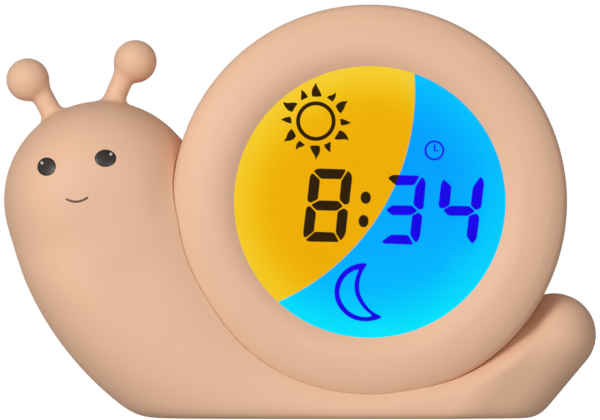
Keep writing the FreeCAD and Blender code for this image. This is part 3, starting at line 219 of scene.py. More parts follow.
def lit_film(name, blue):
    """Backlit colour film: emission that grows paler towards the light box's edge."""
    m = Mat(name)
    u, w = disc_uv(m)
    r = radius_of(m, u, w)
    edge = m.n("ShaderNodeMapRange", interpolation_type="SMOOTHSTEP")
    edge.inputs[1].default_value = 24.0
    edge.inputs[2].default_value = 42.5
    m.link(r, edge.inputs[0])
    patch = m.remap(m.noise(75.0, 2.0, 0.5), 0.3, 0.7, -0.03, 0.03)
    if blue:
        low = m.math("MULTIPLY", m.math("MINIMUM", w, 9.0), -0.0098)
        t = m.math("ADD", m.math("MULTIPLY", edge.outputs[0], 0.46), m.math("ADD", low, 0.13))
        col = m.ramp(m.math("ADD", t, patch), [(0.0, lin(0, 159, 254)), (0.35, lin(0, 180, 254)),
                                              (0.7, lin(0, 205, 254)), (1.0, lin(2, 229, 252))])
    else:
        up = m.math("MULTIPLY", m.math("MAXIMUM", w, 8.0), 0.0045)
        t = m.math("ADD", m.math("MULTIPLY", edge.outputs[0], 0.82), up)
        col = m.ramp(m.math("ADD", t, patch), [(0.0, lin(240, 173, 1)), (0.4, lin(242, 184, 6)),
                                              (0.75, lin(244, 198, 30)), (1.0, lin(247, 208, 52))])
    e = m.n("ShaderNodeEmission")
    m.link(col, e.inputs["Color"])
    e.inputs["Strength"].default_value = 1.0
    d = m.n("ShaderNodeBsdfDiffuse")
    d.inputs["Color"].default_value = (0.0003, 0.002, 0.002, 1) if blue else (0.002, 0.002, 0.0002, 1)
    add = m.n("ShaderNodeAddShader")
    m.link(e.outputs[0], add.inputs[0])
    m.link(d.outputs[0], add.inputs[1])
    m.link(add.outputs[0], m.out.inputs["Surface"])
    return m.m


BOUND_U, BOUND_W, BOUND_R = -56.2, 33.6, 70.0


def lcd_ink(name):
    """Segments: the film's light comes through a little, so they take its colour."""
    m = Mat(name)
    u, w = disc_uv(m)
    du = m.math("SUBTRACT", u, BOUND_U)
    dw = m.math("SUBTRACT", w, BOUND_W)
    r = radius_of(m, du, dw)
    side = m.remap(r, BOUND_R - 0.15, BOUND_R + 0.15, 0.0, 1.0)
    warm = m.ramp(m.noise(420.0, 2.0, 0.5), [(0.3, lin(43, 27, 8)), (0.7, lin(50, 32, 6))])
    cold = m.ramp(m.noise(300.0, 2.0, 0.5), [(0.3, lin(22, 4, 226)), (0.7, lin(28, 2, 240))])
    mix = m.n("ShaderNodeMix", data_type="RGBA")
    m.link(side, mix.inputs["Factor"])
    m.link(warm, mix.inputs[6])
    m.link(cold, mix.inputs[7])
    e = m.n("ShaderNodeEmission")
    m.link(mix.outputs[2], e.inputs["Color"])
    m.link(e.outputs[0], m.out.inputs["Surface"])
    return m.m


def ink(name, base, rough, coat=0.0):
    return moulded(name, base, rough, 0.08, 1800.0, 0.000006, coat=coat, mottled=300.0)


def board(name):
    """Solder mask with copper tracks showing as slightly raised, lighter lines."""
    m = Mat(name)
    p = m.bsdf(Coat_Weight=0.4, Coat_Roughness=0.15)
    v = m.n("ShaderNodeTexVoronoi", feature="DISTANCE_TO_EDGE", distance="MANHATTAN")
    v.inputs["Scale"].default_value = 260.0
    m.link(m.co, v.inputs["Vector"])
    line = m.n("ShaderNodeMapRange")
    line.inputs[1].default_value, line.inputs[2].default_value = 0.05, 0.09
    line.inputs[3].default_value, line.inputs[4].default_value = 1.0, 0.0
    m.link(v.outputs["Distance"], line.inputs[0])
    m.link(m.ramp(line.outputs[0], [(0.0, (0.012, 0.085, 0.035)), (1.0, (0.03, 0.16, 0.06))]), p.inputs["Base Color"])
    m.link(m.bump(line.outputs[0], 0.00003, 0.6), p.inputs["Normal"])
    m.link(m.remap(m.noise(500.0), 0.3, 0.7, 0.35, 0.5), p.inputs["Roughness"])
    return m.m


LOOKS = {
    "soft_nude": lambda: soft_skin("soft_nude_look", SKIN),
    "core_abs": lambda: moulded("core_abs_look", (0.78, 0.77, 0.73), 0.5),
    "clear_window": lambda: glassy("clear_window_look", (1, 1, 1, 1), 0.03, 0.12),
    "foam_tape": lambda: moulded("foam_tape_look", (0.05, 0.05, 0.05), 0.9, 0.2, 1500.0, 0.00008),
    "lcd_glass": lambda: glassy("lcd_glass_look", (1, 1, 1, 1), 0.05, 0.04),
    "yellow_film": lambda: lit_film("day_film_look", False),
    "blue_film": lambda: lit_film("night_film_look", True),
    "white_diffuser": lambda: moulded("diffuser_look", (0.86, 0.87, 0.87), 0.6, 0.02),
    "white_abs": lambda: moulded("white_abs_look", (0.82, 0.82, 0.80), 0.45, 0.02),
    "board_green": lambda: board("board_look"),
    "black_plastic": lambda: moulded("black_plastic_look", (0.022, 0.022, 0.024), 0.45, 0.15),
    "steel": lambda: moulded("steel_look", (0.56, 0.56, 0.57), 0.28, 0.05, 5200.0, 0.000004, metallic=1.0),
    "nickel": lambda: moulded("nickel_look", (0.70, 0.69, 0.66), 0.2, 0.04, 2400.0, 0.000003, metallic=1.0),
    "led_white": lambda: moulded("led_look", (0.86, 0.80, 0.45), 0.3, 0.05),
    "cell_wrap": lambda: moulded("cell_wrap_look", (0.03, 0.12, 0.36), 0.3, 0.06, coat=0.3),
    "cable_grey": lambda: moulded("cable_grey_look", (0.36, 0.37, 0.39), 0.5, 0.05, 900.0, 0.00006, stretch=(1, 1, 0.05)),
    "flex_amber": lambda: moulded("flex_amber_look", (0.50, 0.19, 0.03), 0.3, 0.08, coat=0.4),
    "cover_nude": lambda: soft_skin("cover_look", (0.745, 0.462, 0.318, 1.0), 0.6),
    "button_nude": lambda: soft_skin("button_look", (0.830, 0.560, 0.410, 1.0), 0.5),
    "foam_grey": lambda: moulded("foam_grey_look", (0.16, 0.16, 0.17), 0.95, 0.2, 1300.0, 0.0001),
    "wire_red": lambda: moulded("wire_look", (0.42, 0.02, 0.02), 0.4, 0.05, coat=0.2),
    "plunger_black": lambda: moulded("plunger_look", (0.03, 0.03, 0.032), 0.4, 0.1),
}
looks = {k: f() for k, f in LOOKS.items()}
slot_of = {s["node"]: s["material_slot"] for s in frame["record"]["subparts"]}
for name, ob in frame["nodes"].items():
    look = looks[slot_of[name]]
    if not ob.material_slots:
        ob.data.materials.append(look)
    for s in ob.material_slots:
        s.material = look


# ------------------------------------------------------- the body's form
def smin(a, b, k):
    h = np.maximum(k - np.abs(a - b), 0.0) / k
    return np.minimum(a, b) - h * h * h * (k / 6.0)


def smax(a, b, k):
    return -smin(-a, -b, k)


HX, HZ, HA, HB, HC = -60.39, 66.73, 30.19, 31.4, 30.13
CX, CZ, CR = 3.47, 79.13, 95.02
TH, TC, TR, TT, TR2 = 28.4, 30.6, 21.0, 23.5, 11.0
TX, TZ, TX2, TZ2, TRAD, TFLAT = 77.75, 25.58, 56.95, 0.7, 12.45, 9.5
FEELERS = [((-75.1, 91.4), (-80.9, 102.2), (-83.4, 103.4)), ((-58.5, 93.8), (-52.6, 107.7), (-50.5, 109.0))]
STALK, BALL, DIP, VALLEY, DROP = 3.25, 6.55, 0.6, 24.0, 1.4


def capsule(x, y, z, x0, z0, x1, z1):
    ax, az = x1 - x0, z1 - z0
    px, pz = x - x0, z - z0
    s = np.clip((px * ax + pz * az) / (ax * ax + az * az), 0.0, 1.0)
    return np.sqrt((px - ax * s) ** 2 + y * y + (pz - az * s) ** 2)


def ease(t):
    t = np.clip(t, 0.0, 1.0)
    return t * t * (3.0 - 2.0 * t)


def form(P):
    """Distance-like field of the body, negative inside, millimetres."""
    x, z = P[..., 0], P[..., 2]
    # the body falls away beside the shell: a little next to the neck, and in
    # a narrow deep valley next to the tail
    turn = np.degrees(np.arctan2(z - DISC_Z, x - DISC_X)) % 360.0
    wide = 13.0 - 6.5 * ease((turn - 220.0) / 50.0) + 2.5 * ease((turn - 285.0) / 40.0)
    t = np.clip(1.0 - (np.hypot(x - DISC_X, z - DISC_Z) - 58.0) / wide, 0.0, 1.0)
    deep = 1.7 + DIP * ease((225.0 - turn) / 35.0) + VALLEY * ease((turn - 280.0) / 56.0) ** 1.2
    y = np.abs(P[..., 1]) * (1.0 + deep * t ** 2.2 / 27.0)
    # head: round seen from the front, a little flattened in front and behind
    flat, v = np.hypot((x - HX) / HA, (z - HZ) / HC), y / HB
    k = (flat ** 2.5 + v ** 2.5) ** 0.4
    g = np.hypot((flat / np.maximum(k, 1e-3)) ** 1.5 / 30.16, (v / np.maximum(k, 1e-3)) ** 1.5 / HB)
    head = (k - 1.0) / np.maximum(g, 1e-3)
    side = np.where(x < CX, np.hypot(x - CX, z - CZ) - CR, CZ - CR - z)
    rise = -0.4618 * (x + 86.0) + 0.8870 * (z - 55.95)
    fall = 0.5735 * (x - 20.0) + 0.8192 * (z - 62.0)
    end = 0.768 * (x - TX) - 0.640 * (z - TZ) - 1.5
    outline = smax(side, rise, 20.0)
    outline = smax(outline, z - 84.0, 12.0)
    outline = smax(outline, fall, 14.0)
    outline = smax(outline, end, 10.0)
    q = np.clip((x - 25.0) / 60.0, 0.0, 1.0)
    d = TH + (TT - TH) * q * q + (TC - TH) * ease((-5.0 - x) / 45.0)
    d = d - DROP * ease((z - 32.0) / 34.0) * ease((x + 59.0) / 20.0)
    rnd = TR + (TR2 - TR) * ease((x + 10.0) / 55.0)
    q0, q1 = outline + rnd, y * TH / d - (TH - rnd)
    trunk = np.hypot(np.maximum(q0, 0), np.maximum(q1, 0)) + np.minimum(np.maximum(q0, q1), 0) - rnd
    trunk = trunk * d / TH
    tail = capsule(x, np.maximum(y - TFLAT, 0.0), z, TX, TZ, TX2, TZ2) - TRAD
    f = smin(smin(head, trunk, 8.0), tail, 12.0)
    for (x0, z0), (x1, z1), (x2, z2) in FEELERS:
        stalk = capsule(x, y, z, x0, z0, x1, z1) - STALK
        ball = np.sqrt((x - x2) ** 2 + y * y + (z - z2) ** 2) - BALL
        f = smin(f, smin(stalk, ball, 2.0), 3.6)
    return smax(f, -z, 5.5)


def arc_centre(a, b, rad):
    """Centre of the outward bulging arc from a to b in the shell's profile."""
    m = 0.5 * (np.array(a) + np.array(b))
    d = np.array(b) - np.array(a)
    half = 0.5 * np.hypot(*d)
    n = np.array([-d[1], d[0]]) / (2 * half)
    return m + n * math.sqrt(rad * rad - half * half)


# the shell's rim: radius and depth of its profile's points, and the arcs between
R0, R1, R2 = (55.1, -28.46), (58.6, -26.35), (60.0, -23.44)
C0, C1 = arc_centre(R0, R1, 12.4), arc_centre(R1, R2, 4.0)


def room(P):
    """Distance outside the shell's own room: its wall and both rounded rims."""
    x, y, z = P[..., 0], P[..., 1], P[..., 2]
    r = np.hypot(x - DISC_X, z - DISC_Z)
    wide = np.hypot(np.maximum(r - C0[0], 0), y - C0[1]) - 12.4
    tight = np.hypot(np.maximum(r - C1[0], 0), y - C1[1]) - 4.0
    # which arc: on either side of the line through both centres
    turn = (r - C1[0]) * (R1[1] - C1[1]) - (y - C1[1]) * (R1[0] - C1[0])
    front = np.where(turn < 0, tight, wide)
    back = np.hypot(np.maximum(r - 54.0, 0), y - 22.9) - 6.0
    return np.where(y < C1[1], front, np.where(y > 22.9, back, r - 60.0))


def grad(fn, P, e=0.01):
    out = np.empty_like(P)
    for a in range(3):
        d = np.zeros(3)
        d[a] = e
        out[:, a] = (fn(P + d) - fn(P - d)) / (2 * e)
    return out


def settle(P, level=0.0, rounds=4):
    """Move points onto a level surface of the form."""
    P = P.copy()
    for _ in range(rounds):
        g = grad(form, P)
        g2 = np.maximum((g * g).sum(1), 1e-6)
        P -= g * ((form(P) - level) / g2)[:, None]
    return P


def settle2(P, level, gap, rounds=8):
    """Move points onto the curve where form = level and room = gap."""
    P = P.copy()
    level = np.broadcast_to(level, len(P)).astype(float)
    gap = np.broadcast_to(gap, len(P)).astype(float)
    for _ in range(rounds):
        a, b = grad(form, P), grad(room, P)
        ra, rb = form(P) - level, room(P) - gap
        aa, ab, bb = (a * a).sum(1), (a * b).sum(1), (b * b).sum(1)
        det = np.maximum(aa * bb - ab * ab, 0.02)
        la, lb = (bb * ra - ab * rb) / det, (aa * rb - ab * ra) / det
        step = a * la[:, None] + b * lb[:, None]
        size = np.linalg.norm(step, axis=1)
        step *= np.minimum(1.0, 1.5 / np.maximum(size, 1e-9))[:, None]
        P -= step
    return P


def surface_nets(F, lo, h):
    """Quad mesh of the zero level of a sampled field."""
    ins = F < 0
    nx, ny, nz = F.shape
    c = np.zeros((nx - 1, ny - 1, nz - 1), np.int8)
    for i in (0, 1):
        for j in (0, 1):
            for k in (0, 1):
                c += ins[i:nx - 1 + i, j:ny - 1 + j, k:nz - 1 + k]
    act = (c > 0) & (c < 8)
    idx = -np.ones(c.shape, np.int64)
    idx[act] = np.arange(act.sum())
    acc = np.zeros((act.sum(), 3))
    cnt = np.zeros(act.sum())
    quads = []
    for ax in range(3):
        sl0 = [slice(None)] * 3
        sl1 = [slice(None)] * 3
        sl0[ax], sl1[ax] = slice(0, -1), slice(1, None)
        a, b = F[tuple(sl0)], F[tuple(sl1)]
        cross = (a < 0) != (b < 0)
        p, q = (ax + 1) % 3, (ax + 2) % 3
        lim = [slice(None)] * 3
        lim[p], lim[q] = slice(1, -1), slice(1, -1)
        keep = np.zeros_like(cross)
        keep[tuple(lim)] = True
        at = np.argwhere(cross & keep)
        fa, fb = a[tuple(at.T)], b[tuple(at.T)]
        pos = at.astype(float)
        pos[:, ax] += fa / (fa - fb)
        corners = []
        for dp, dq in ((1, 1), (0, 1), (0, 0), (1, 0)):
            cell = at.copy()
            cell[:, p] -= dp
            cell[:, q] -= dq
            n = idx[tuple(cell.T)]
            np.add.at(acc, n, pos)
            np.add.at(cnt, n, 1)
            corners.append(n)
        quad = np.stack(corners, 1)
        flip = fa > 0
        quad[flip] = quad[flip][:, ::-1]
        quads.append(quad)
    P = acc / cnt[:, None] * h + lo
    return P, np.concatenate(quads)


def relax(P, tris, rounds, level=0.0):
    """Even out a mesh on the level surface, sliding points along it."""
    e = np.concatenate([tris[:, [0, 1]], tris[:, [1, 2]], tris[:, [2, 0]]])
    for _ in range(rounds):
        s = np.zeros_like(P)
        n = np.zeros(len(P))
        np.add.at(s, e[:, 0], P[e[:, 1]])
        np.add.at(n, e[:, 0], 1)
        np.add.at(s, e[:, 1], P[e[:, 0]])
        np.add.at(n, e[:, 1], 1)
        P = settle(0.5 * P + 0.5 * s / np.maximum(n, 1)[:, None], level, 2)
    return P


def split_quads(P, quads):
    """Triangles from quads, along the shorter diagonal."""
    a = np.linalg.norm(P[quads[:, 0]] - P[quads[:, 2]], axis=1)
    b = np.linalg.norm(P[quads[:, 1]] - P[quads[:, 3]], axis=1)
    first = a <= b
    q1, q2 = quads[first], quads[~first]
    return np.concatenate([q1[:, [0, 1, 2]], q1[:, [0, 2, 3]], q2[:, [0, 1, 3]], q2[:, [1, 2, 3]]])


def body_mesh(h, gap=0.14, lip=0.42, wall=2.2):
    lo = np.array([-94.17, -36.13, -3.21])
    n = np.ceil((np.array([94.0, 36.0, 119.0]) - lo) / h).astype(int) + 1
    gx, gy, gz = (lo[i] + h * np.arange(n[i]) for i in range(3))
    F = np.empty(n)
    for i in range(0, n[0], 16):
        X, Y, Z = np.meshgrid(gx[i:i + 16], gy, gz, indexing="ij")
        F[i:i + 16] = form(np.stack([X, Y, Z], -1))
    P, quads = surface_nets(F, lo, h)
    P = settle(P, 0.0, 4)
    tris = split_quads(P, quads)
    P = relax(P, tris, 3)
    # trim to the curve where the skin meets the shell, plus the lip's radius
    s = room(P) - (gap + lip)
    near = np.abs(s) < 0.34 * h
    P[near] = settle2(P[near], 0.0, gap + lip)
    kind = np.where(near, 0, np.where(s > 0, 1, -1))
    k = kind[tris]
    lowest, highest = k.min(1), k.max(1)
    keep = tris[(lowest >= 0) & (highest > 0)]
    mixed = tris[(lowest < 0) & (highest > 0)]
    extra, made, new = [], {}, []
    count = len(P)
    for t in mixed:
        poly = []
        for a, b in ((t[0], t[1]), (t[1], t[2]), (t[2], t[0])):
            if kind[a] >= 0:
                poly.append(a)
            if kind[a] * kind[b] < 0:
                key = (min(a, b), max(a, b))
                if key not in made:
                    made[key] = count + len(extra)
                    w = s[a] / (s[a] - s[b])
                    extra.append(P[a] + (P[b] - P[a]) * w)
                poly.append(made[key])
        for i in range(1, len(poly) - 1):
            new.append((poly[0], poly[i], poly[i + 1]))
    if extra:
        P = np.concatenate([P, settle2(np.array(extra), 0.0, gap + lip)])
    tris = np.concatenate([keep, np.array(new, np.int64).reshape(-1, 3)])
    used = np.unique(tris)
    back = -np.ones(len(P), np.int64)
    back[used] = np.arange(len(used))
    P, tris = P[used], back[tris]
    # open edge
    e = np.concatenate([tris[:, [0, 1]], tris[:, [1, 2]], tris[:, [2, 0]]])
    code = e.min(1) * len(P) + e.max(1)
    _, first, times = np.unique(code, return_index=True, return_counts=True)
    rim = e[first[times == 1]]
    edge = np.unique(rim)
    N = len(P)
    # inner face of the skin, drawn back from the shell near the edge
    inner = settle(P - wall * 0.9 * unit(grad(form, P)), -wall, 4)
    d, dn = room(P), room(inner)
    close = d < 9.0
    w = np.clip((9.0 - d) / (9.0 - gap - lip), 0, 1)
    w = w * w * (3 - 2 * w)
    target = d - lip * w + (dn - d) * (1 - w)
    inner[close] = settle2(inner[close], -wall, target[close], 10)
    rings = []
    start = P[edge]
    steps = [math.pi / 2 * i / 4 for i in range(1, 5)]
    for a in steps:
        start = settle2(start, -lip * (1 - math.cos(a)), gap + lip * (1 - math.sin(a)), 6)
        rings.append(start)
    start = settle2(start, -0.5 * (lip + wall), gap, 6)
    rings.append(start)
    order = -np.ones(N, np.int64)
    order[edge] = np.arange(len(edge))
    verts = np.concatenate([P, inner] + rings)
    faces = [tris, tris[:, ::-1] + N]
    chain = [edge] + [2 * N + len(edge) * i + np.arange(len(edge)) for i in range(len(rings))] + [edge + N]
    a, b = order[rim[:, 0]], order[rim[:, 1]]
    for c0, c1 in zip(chain, chain[1:]):
        q = np.stack([c0[b], c0[a], c1[a], c1[b]], 1)
        faces += [q[:, [0, 1, 2]], q[:, [0, 2, 3]]]
    return verts, np.concatenate(faces)


def unit(v):
    return v / np.maximum(np.linalg.norm(v, axis=1), 1e-9)[:, None]


# ------------------------------------------------------- mesh helpers
def add_mesh(name, verts_mm, faces, look, body="clock", smooth=True):
    me = bpy.data.meshes.new(name)
    verts = (np.asarray(verts_mm, float) * MM)
    if isinstance(faces, np.ndarray) and faces.ndim == 2 and faces.shape[1] == 3:
        me.vertices.add(len(verts))
        me.vertices.foreach_set("co", verts.ravel())
        me.loops.add(faces.size)
        me.loops.foreach_set("vertex_index", faces.ravel().astype(np.int32))
        me.polygons.add(len(faces))
        me.polygons.foreach_set("loop_start", np.arange(0, faces.size, 3, dtype=np.int32))
        me.update(calc_edges=True)
        me.validate()
    else:
        me.from_pydata([tuple(v) for v in verts], [], [tuple(int(i) for i in f) for f in faces])
        me.validate()
    if smooth:
        me.shade_smooth()
    me.materials.append(look)
    ob = bpy.data.objects.new(name, me)
    bpy.context.scene.collection.objects.link(ob)
    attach(ob, body)
    return ob


skin_v, skin_f = body_mesh(0.9)
skin = add_mesh("snail_skin", skin_v, skin_f, looks["soft_nude"], "clock")
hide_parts("silicone_body")


# ------------------------------------------------------- eyes and smile
def face_y(x, z):
    """The head's front surface at x, z."""
    lo, hi = np.full(len(x), -40.0), np.full(len(x), -2.0)
    for _ in range(40):
        mid = 0.5 * (lo + hi)
        inside = form(np.stack([x, mid, z], 1)) < 0
        hi = np.where(inside, mid, hi)
        lo = np.where(inside, lo, mid)
    return hi


def px(x, y):
    """Place on the front view: millimetres right and up from pixel values."""
    return (x - 300.3) * 0.306, (416.7 - y) * 0.306 + 0.3


def patch(name, outline_rings, height, look, slot):
    """Thin printed or inlaid patch on the head: rings of x,z points from centre to edge."""
    rings, n = len(outline_rings), len(outline_rings[0])
    pts = np.array([p for ring in outline_rings for p in ring])
    base = np.stack([pts[:, 0], face_y(pts[:, 0], pts[:, 1]), pts[:, 1]], 1)
    nor = unit(grad(form, base))
    h = np.array([height(i / (rings - 1)) for i in range(rings) for _ in range(n)])
    top = base + nor * h[:, None]
    low = base - nor * 0.25
    # the first ring is the centre point
    V, F = [top[0]], []
    for i in range(1, rings):
        V += list(top[i * n:(i + 1) * n])
    for j in range(n):
        F.append((0, 1 + j, 1 + (j + 1) % n))
    for i in range(1, rings - 1):
        a, b = 1 + (i - 1) * n, 1 + i * n
        for j in range(n):
            F.append((a + j, b + j, b + (j + 1) % n, a + (j + 1) % n))
    last = 1 + (rings - 2) * n
    s = len(V)
    V += list(low[(rings - 1) * n:])
    for j in range(n):
        F.append((last + j, s + j, s + (j + 1) % n, last + (j + 1) % n))
    V.append(low[0])
    for j in range(n):
        F.append((len(V) - 1, s + (j + 1) % n, s + j))
    ob = add_mesh(name, V, F, look, "clock")
    # outward faces: the top looks towards the front
    me = ob.data
    if me.polygons[0].normal.y > 0:
        me.flip_normals()
    return ob


def oval(cx, cz, rx, rz, turn, rings, n=64):
    out = []
    t = math.radians(turn)
    for i in range(rings):
        k = i / (rings - 1)
        ring = []
        for j in range(n):
            a = 2 * math.pi * j / n
            u, w = rx * k * math.cos(a), rz * k * math.sin(a)
            ring.append((cx + u * math.cos(t) - w * math.sin(t), cz + u * math.sin(t) + w * math.cos(t)))
        out.append(ring)
    return out


eye_look = ink("eye_print", (0.020, 0.014, 0.012, 1.0), 0.42, coat=0.10)
glint_look = ink("eye_glint", (0.50, 0.47, 0.46, 1.0), 0.5)
smile_look = ink("smile_print", (0.115, 0.060, 0.040, 1.0), 0.5)


def dome(k):
    return 0.10 + 0.22 * math.sqrt(max(1 - k * k, 0.0))


for tag, (ex, ey), (w, h, turn), (gx, gy, gr) in (
        ("left", (48.5, 167.0), (9.3, 9.0, 30), (44.3, 163.6, 1.5)),
        ("right", (107.1, 158.7), (10.6, 8.5, 0), (112.4, 154.9, 1.5))):
    cx, cz = px(ex, ey)
    patch("eye_" + tag, oval(cx, cz, w * 0.306, h * 0.306, turn, 10), dome, eye_look, "black_plastic")
    cx, cz = px(gx, gy)
    patch("eye_glint_" + tag, oval(cx, cz, gr * 0.306, gr * 0.306, 0, 4, 32), lambda k: 0.36, glint_look, "white_abs")


def smile():
    a, b, c = px(67.6, 198.7), px(79.0, 205.6), px(90.3, 196.9)
    n, m = 36, 12
    pts = []
    for i in range(n + 1):
        t = i / n
        pts.append(((1 - t) ** 2 * a[0] + 2 * t * (1 - t) * b[0] + t * t * c[0],
                    (1 - t) ** 2 * a[1] + 2 * t * (1 - t) * b[1] + t * t * c[1]))
    pts = np.array(pts)
    base = np.stack([pts[:, 0], face_y(pts[:, 0], pts[:, 1]), pts[:, 1]], 1)
    nor = unit(grad(form, base))
    tan = unit(np.gradient(base, axis=0))
    side = unit(np.cross(tan, nor))
    V, F = [], []
    for i in range(n + 1):
        end = min(i, n - i) / 3.0
        r = 0.34 * math.sqrt(min(1.0, max(end, 0.02)) * (2 - min(1.0, max(end, 0.02))))
        for j in range(m):
            q = 2 * math.pi * j / m
            V.append(base[i] + side[i] * r * math.cos(q) + nor[i] * (0.12 * (r / 0.34) * math.sin(q)))
    for i in range(n):
        for j in range(m):
            F.append((i * m + j, i * m + (j + 1) % m, (i + 1) * m + (j + 1) % m, (i + 1) * m + j))
    F.append(tuple(range(m))[::-1])
    F.append(tuple(n * m + j for j in range(m)))
    ob = add_mesh("smile_line", V, F, smile_look, "clock")
    outwards(ob)
    return ob


def outwards(ob):
    """Consistent outward normals on a closed mesh."""
    import bmesh
    bm = bmesh.new()
    bm.from_mesh(ob.data)
    bmesh.ops.recalc_face_normals(bm, faces=bm.faces)
    bm.to_mesh(ob.data)
    bm.free()


smile()

# ---------------------------------------------------------- display glyphs
SEG_FRONT, SEG_BACK = -21.392, -21.362


def prism(outer, hole=None):
    """Thin flat plate in the display plane from an outline and maybe one hole."""
    loops = [outer] + ([hole] if hole else [])
    flat = [[Vector((u, w, 0)) for u, w in lp] for lp in loops]
    tris = tessellate_polygon(flat)
    pts = [p for lp in loops for p in lp]
    n = len(pts)
    V = [(DISC_X + u, SEG_FRONT, DISC_Z + w) for u, w in pts] + [(DISC_X + u, SEG_BACK, DISC_Z + w) for u, w in pts]
    F = [tuple(t) for t in tris] + [tuple(i + n for i in t)[::-1] for t in tris]
    at = 0
    for lp in loops:
        m = len(lp)
        for i in range(m):
            a, b = at + i, at + (i + 1) % m
            F.append((a, b, b + n, a + n))
        at += m
    return V, F


def glyph(name, plates, look):
    V, F = [], []
    for v, f in plates:
        s = len(V)
        V += v
        F += [tuple(i + s for i in x) for x in f]
    ob = add_mesh(name, V, F, look, "clock", smooth=False)
    outwards(ob)
    return ob


def from_view(points, ox, oy, k):
    """Outline points read at k times the front view's pixels, from corner ox, oy."""
    return [((ox + x / k - 369.66) * 0.306, (201.27 - oy - y / k) * 0.306) for x, y in points]


def soften(pts, rounds=2, keep=0.30):
    """Round an outline's corners a little (cut each corner, repeatedly)."""
    for _ in range(rounds):
        out = []
        n = len(pts)
        for i in range(n):
            a, b = pts[i], pts[(i + 1) % n]
            L = math.hypot(b[0] - a[0], b[1] - a[1])
            c = min(0.25, keep / max(L, 1e-6))
            out.append((a[0] + (b[0] - a[0]) * c, a[1] + (b[1] - a[1]) * c))
            out.append((b[0] + (a[0] - b[0]) * c, b[1] + (a[1] - b[1]) * c))
        pts = out
    return pts


ink_look = lcd_ink("segment_look")
DIGITS = {
    "digit_hours": [
        [(187, 84), (202, 71), (232, 62), (443, 70), (402, 146), (243, 143)],
        [(180, 98), (238, 152), (221, 303), (163, 331), (143, 319), (138, 300), (157, 135), (166, 112)],
        [(455, 79), (478, 100), (489, 132), (467, 322), (461, 335), (430, 348), (389, 306), (404, 158)],
        [(166, 346), (232, 311), (379, 315), (417, 357), (368, 393), (210, 389)],
        [(155, 350), (207, 405), (190, 555), (122, 604), (108, 587), (106, 562), (127, 385), (133, 367)],
        [(424, 371), (449, 388), (456, 405), (438, 565), (426, 595), (398, 626), (359, 562), (375, 398)],
        [(198, 555), (348, 561), (386, 636), (160, 633), (138, 628), (126, 618)]],
    "digit_minutes_tens": [
        [(764, 137), (803, 112), (1000, 118), (1014, 123), (972, 194), (828, 194)],
        [(1030, 126), (1051, 145), (1063, 180), (1045, 370), (1036, 379), (1008, 386), (964, 345), (980, 207)],
        [(750, 384), (802, 349), (955, 352), (998, 393), (945, 428), (797, 427)],
        [(1005, 404), (1037, 432), (1018, 590), (1006, 622), (980, 643), (939, 577), (956, 428)],
        [(716, 632), (790, 577), (925, 580), (966, 653), (950, 657), (735, 649)]],
    "digit_minutes_units": [
        [(1202, 147), (1263, 200), (1248, 350), (1190, 379), (1166, 363), (1161, 348), (1179, 190), (1189, 165)],
        [(1487, 125), (1508, 145), (1518, 180), (1494, 370), (1452, 391), (1411, 350), (1429, 207)],
        [(1194, 386), (1252, 353), (1403, 355), (1446, 397), (1390, 433), (1238, 431)],
        [(1455, 411), (1481, 437), (1461, 600), (1446, 630), (1423, 651), (1384, 600), (1380, 578), (1397, 430)]],
}
for name, segs in DIGITS.items():
    glyph(name, [prism(soften(from_view(s, 290, 160, 7.84))) for s in segs], ink_look)


def ring_pts(cx, cy, rx, ry, n=72):
    """Oval outline around a place given in the front view's pixels."""
    return [((cx + rx * math.cos(2 * math.pi * i / n) - 369.66) * 0.306,
             (201.27 - cy + ry * math.sin(2 * math.pi * i / n)) * 0.306) for i in range(n)]


glyph("colon_dots", [prism(ring_pts(365.75, 197.0, 5.1, 6.1)), prism(ring_pts(363.6, 220.3, 5.0, 6.2))], ink_look)

RAYS = [
    [(270, 320), (264, 268), (276, 220), (302, 182), (318, 148), (328, 192), (352, 232), (377, 280), (388, 318), (330, 323)],
    [(444, 332), (475, 308), (520, 298), (555, 266), (557, 300), (546, 342), (512, 384), (478, 352)],
    [(552, 432), (580, 400), (625, 378), (704, 372), (673, 410), (656, 465), (612, 524), (580, 490)],
    [(604, 584), (652, 592), (700, 616), (740, 628), (692, 656), (620, 669), (610, 630)],
    [(597, 721), (652, 743), (690, 790), (713, 846), (660, 830), (580, 839), (531, 826), (570, 775)],
    [(490, 857), (496, 900), (490, 945), (494, 992), (455, 966), (425, 930), (411, 897), (455, 880)],
]
plates = []
scx, scy = 316.2, 120.9
for ray in RAYS:
    pts = soften(from_view(ray, 290, 70, 12.06), 2, 0.18)
    plates.append(prism(pts))
    mu, mw = (scx - 369.66) * 0.306, (201.27 - scy) * 0.306
    plates.append(prism([(2 * mu - u, 2 * mw - w) for u, w in pts]))
plates.append(prism(ring_pts(scx, scy, 19.65, 19.65, 120), ring_pts(scx, scy, 15.7, 15.7, 120)[::-1]))
glyph("sun_sign", plates, ink_look)

MOON_OUT = [(820, 201), (700, 203), (560, 240), (420, 320), (300, 440), (216, 600), (186, 780), (216, 960), (302, 1122),
            (440, 1256), (600, 1340), (780, 1370), (950, 1360), (1080, 1322), (1144, 1280), (1100, 1246), (1000, 1200),
            (880, 1108), (772, 960), (706, 820), (686, 680), (702, 520), (742, 400), (800, 302), (850, 232)]
MOON_IN = [(686, 325), (600, 346), (480, 412), (372, 522), (304, 680), (292, 820), (332, 970), (430, 1118), (560, 1218),
           (700, 1272), (850, 1282), (958, 1256), (860, 1184), (762, 1090), (672, 960), (610, 820), (590, 680), (602, 540), (642, 420)]
glyph("moon_sign", [prism(soften(from_view(MOON_OUT, 325, 252, 20.1), 3, 9.0),
                          soften(from_view(MOON_IN, 325, 252, 20.1), 3, 9.0)[::-1])], ink_look)
hand_a = from_view([(718, 465), (790, 465), (790, 750), (718, 750)], 415, 132, 39.2)
hand_b = from_view([(792, 680), (880, 690), (925, 716), (880, 745), (792, 750)], 415, 132, 39.2)
